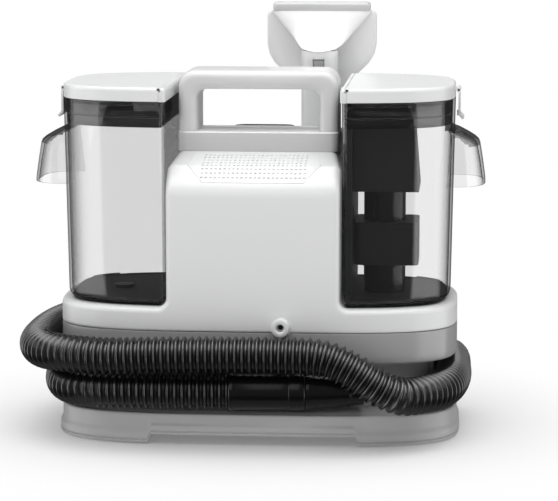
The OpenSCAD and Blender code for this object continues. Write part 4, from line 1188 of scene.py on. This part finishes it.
def make_tool():
    """Neck, fan-shaped nozzle, plate and lip of the hand tool, which stands mouth upwards."""
    neck_lo, neck_hi = node_box("tool_neck")
    r, z0, z1 = NECK_R, neck_lo[2], neck_hi[2]
    p = [(NECK_BORE, z0 + 0.2), (r - 0.8, z0), (r, z0 + 0.8), (r, z0 + 60), (r, z1 - 12.5), (r, z1 - 3.8),
         (r, z1 + 3.5), (r - 0.4, z1 + 4), (NECK_BORE, z1 + 4), (NECK_BORE, z0 + 1)]
    skin = Skin().add(spun(p, (TOOL_X, TOOL_Y, 0), "z", 96), wrap_rows=True, wrap_cols=True, skip=PAD_ROOM)
    for x in (TOOL_X - 6.4, TOOL_X + 6.4):
        skin.closed(block(x - 1.4, x + 1.4, TOOL_Y + r - 3, TOOL_Y + r + 5.2, EAR_LOW, EAR_HIGH, 1.0))
    skin.piece("neck_tube", "tool", WHITE, "white_plastic", ["tool_neck"], 40)

    catch = block(TOOL_X - 5.0, TOOL_X + 5.0, TOOL_Y - r + 0.3, TOOL_Y - r + 2.0, z1 - 11.7, z1 - 4.6, 1.0)
    Skin().closed(catch).piece(
        "release_pad", "release", GREY, "grey_plastic", ["tool_release"], 45)

    # nozzle: squared ellipses whose half width, half depth and squareness change with height
    zs = np.array([349, 349.6, 351, 354, 358, 362, 368, 375, 381, 385, 386.0])
    half_x = np.where(zs < 350, 17.9, 17.9 + (zs - 350) * 0.872)
    half_x[[0, -1]] -= (0.6, 0.1)
    half_y = np.array([17.3, 17.9, 18.0, 17.6, 17.6, 17.4, 16.5, 15.5, 14.3, 13.6, 13.4])
    mid_y = np.array([78, 78, 81, 89.2, 99, 107, 112, 114.2, 115.7, 116.4, 116.5]) + MID_Y
    power = np.array([2, 2, 2.1, 2.2, 2.4, 2.7, 3.2, 3.8, 4.4, 4.8, 4.8])
    t = np.linspace(0, TAU, 128, endpoint=False)

    def ring(k, off):
        """Squared ellipse at station k, set in by off. The lower edge rises at its sides."""
        c, s = np.cos(t), np.sin(t)
        rad = unit_radius(t, power[k])
        dip = 3.0 * c ** 2 * max(0, 1 - (zs[k] - zs[0]) / 6)
        x, y = TOOL_X + (half_x[k] - off) * rad * c, mid_y[k] + (half_y[k] - off) * rad * s
        return points(x, y, zs[k] + dip)
    count = len(zs)
    grid = np.array([ring(k, 0) for k in range(count)] + [ring(k, 3) for k in range(count - 1, -1, -1)])
    skin = Skin().hoop(grid)
    # painted light: the nozzle takes the brighter lit copy of the white
    skin.piece("nozzle_fan", "tool", LIT_WHITE, "white_plastic", ["tool_nozzle"], 45)

    # plate behind the nozzle: a shield with rounded corners, thin, its rim rolled
    half = np.array([20, 31, 46, 51, 53, 53, 51.5])
    high = np.array([311, 321, 335.5, 344, 354, 382, 385.5])
    right = np.column_stack([TOOL_X + half, high])
    left = np.column_stack([TOOL_X - half, high])[::-1]
    radii = [5, 6, 6, 5, 5, 1.5, 1.5]
    loop = even(rounded(np.vstack([right, left]), radii + radii[::-1], 5), 200, closed=True)
    centre = loop.mean(0)
    y_front, y_back = 112 + MID_Y, 126 + MID_Y
    rows = []
    for inset, y in ((14, y_front + 0.6), (6, y_front + 0.3), (1.2, y_front), (0.3, y_front + 0.4),
                     (0, y_front + 1.2), (0, y_back - 1.4), (0.4, y_back - 0.4), (1.4, y_back),
                     (14, y_back)):
        away = loop - centre
        shrunk = centre + away * (1 - inset / np.linalg.norm(away, axis=1)[:, None])
        rows.append(points(shrunk[:, 0], y, shrunk[:, 1]))
    skin = Skin().closed(np.array(rows))
    skin.piece("nozzle_shield", "tool", SHIELD, "pale_plastic", ["tool_plate"], 45)

    lip_lo, lip_hi = node_box("tool_lip")

    def lip_plan(i):
        corner = max(4 - i * 0.2, 2.6)
        return rect_ring(lip_lo[0] + i, lip_hi[0] - i, lip_lo[1] + i, lip_hi[1] - i, corner, 8, 12)
    turn = arc(3.2, lip_hi[2] - 3.2, 3.2, 180, 90, 7)
    p = [(0.3, lip_lo[2]), (0, lip_lo[2] + 0.4)] + [tuple(q) for q in turn]
    p += [(5.4, lip_hi[2] - 0.2), (6, lip_hi[2] - 0.8), (6, lip_lo[2])]
    skin = Skin().hoop(stack(lip_plan, p))
    skin.piece("nozzle_lip", "tool", LIP, "grey_plastic", ["tool_lip"], 45)


for make in (make_tray, make_belt, make_deck, make_column, make_vent, make_collar, make_button, make_handle,
             make_port, make_tanks, make_tool):
    make()

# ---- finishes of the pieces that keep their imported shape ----

KEPT = {
    RUBBER: ["rubber_feet", "motor_mount", "tank_gaskets", "cord_gland", "clean_seal", "dirty_seal"],
    GREY: ["exhaust_grille", "upper_cord_hook", "tool_trigger"],
    DARK: ["power_switch", "pump_body", "fan_housing", "air_duct", "clean_dock", "tool_socket",
           "clean_valve", "separator_housing", "air_channel"],
    STEEL: ["pump_plunger", "vacuum_motor", "housing_screws", "clean_hinge_pin", "dirty_hinge_pin"],
    WHITE: ["clean_latch", "dirty_latch"], BLACK: ["hose_outlet", "separator_tube"], ALLOY: ["fan_impeller"],
    FOAM: ["exhaust_filter"], BOARD: ["control_board"], FLOAT: ["float"]}
FINISH_OF = {node: finish for finish, nodes in KEPT.items() for node in nodes}
for piece in bpy.data.objects:
    finish = FINISH_OF.get(piece.get("node")) or FINISH_OF.get(piece.name)
    if finish and piece.type == "MESH":
        piece.data.materials.clear()
        piece.data.materials.append(finish)

# ---- floor, light and background ----


def make_floor():
    """Pale floor that keeps the shadow and fades to white away from the object."""
    mesh = bpy.data.meshes.new("floor")
    mesh.from_pydata([(-6, -6, 0), (6, -6, 0), (6, 6, 0), (-6, 6, 0)], [], [(0, 1, 2, 3)])
    floor = new_object("floor", mesh)
    floor.visible_glossy = False
    skin = Finish("floor_white", Roughness=0.7)
    skin.feed(Base_Color=skin.blend(skin.noise(3), shade(0.80), shade(0.84)))
    away = skin.node("ShaderNodeVectorMath", {"operation": "LENGTH"}, {0: skin.place()}, out=1)
    glow = skin.node("ShaderNodeEmission", None, {"Color": shade(1.0), "Strength": 1.0})
    skin.show(skin.mix(skin.ramp(away, 0.14, 0.40, 0.12, 1.0), skin.lit, glow))
    mesh.materials.append(skin.material)


def make_lamp(name, place, size, power):
    """Square soft lamp that faces the middle of the object."""
    lamp = new_object(name, bpy.data.lights.new(name, "AREA"))
    lamp.data.size, lamp.data.energy = size, power
    lamp.location = place
    x, y, z = np.array([0, 0, 0.15]) - np.array(place)
    lamp.rotation_euler = (math.atan2(math.hypot(x, y), -z), 0, math.atan2(-x, y))


def make_surround():
    """White for the camera and through clear walls, side boxes for reflections, soft light for the rest."""
    world = bpy.data.worlds.new("surround")
    bpy.context.scene.world = world
    world.use_nodes = True
    sky = Nodes(world.node_tree, "World Output")
    back = world.node_tree.nodes["Background"]
    back.inputs["Color"].default_value = (1, 1, 1, 1)
    direction = sky.node("ShaderNodeTexCoord")
    across = [sky.node("ShaderNodeSeparateXYZ", None, {0: direction}, out=axis) for axis in range(3)]
    boxes = sky.ramp(across[1], -0.64, -0.60, 0.22, 3.0) * sky.ramp(across[1], 0.35, 0.50, 1.0, 0.07)
    boxes = boxes * sky.ramp(across[2], -0.50, -0.25, 0.12, 1.0)
    soft = sky.ramp(across[1], -0.5, 0.5, 0.36, 0.62)
    seen, lighting = (sky.node("ShaderNodeBackground", None, {"Strength": level}) for level in (boxes, soft))
    glossy, camera_ray, through = (sky.node("ShaderNodeLightPath", out=f"Is {kind} Ray")
                                   for kind in ("Glossy", "Camera", "Transmission"))
    white = sky.node("ShaderNodeMath", {"operation": "MAXIMUM"}, {0: camera_ray, 1: through})
    sky.show(sky.mix(white, sky.mix(glossy, lighting, seen), Wire(sky, back.outputs[0])))


make_floor()
make_lamp("top_panel", (0, -0.25, 1.9), 2.2, 38)
make_lamp("front_panel", (-0.5, -2.6, 1.5), 1.6, 8)
make_surround()
bpy.context.scene.view_settings.view_transform = "Standard"
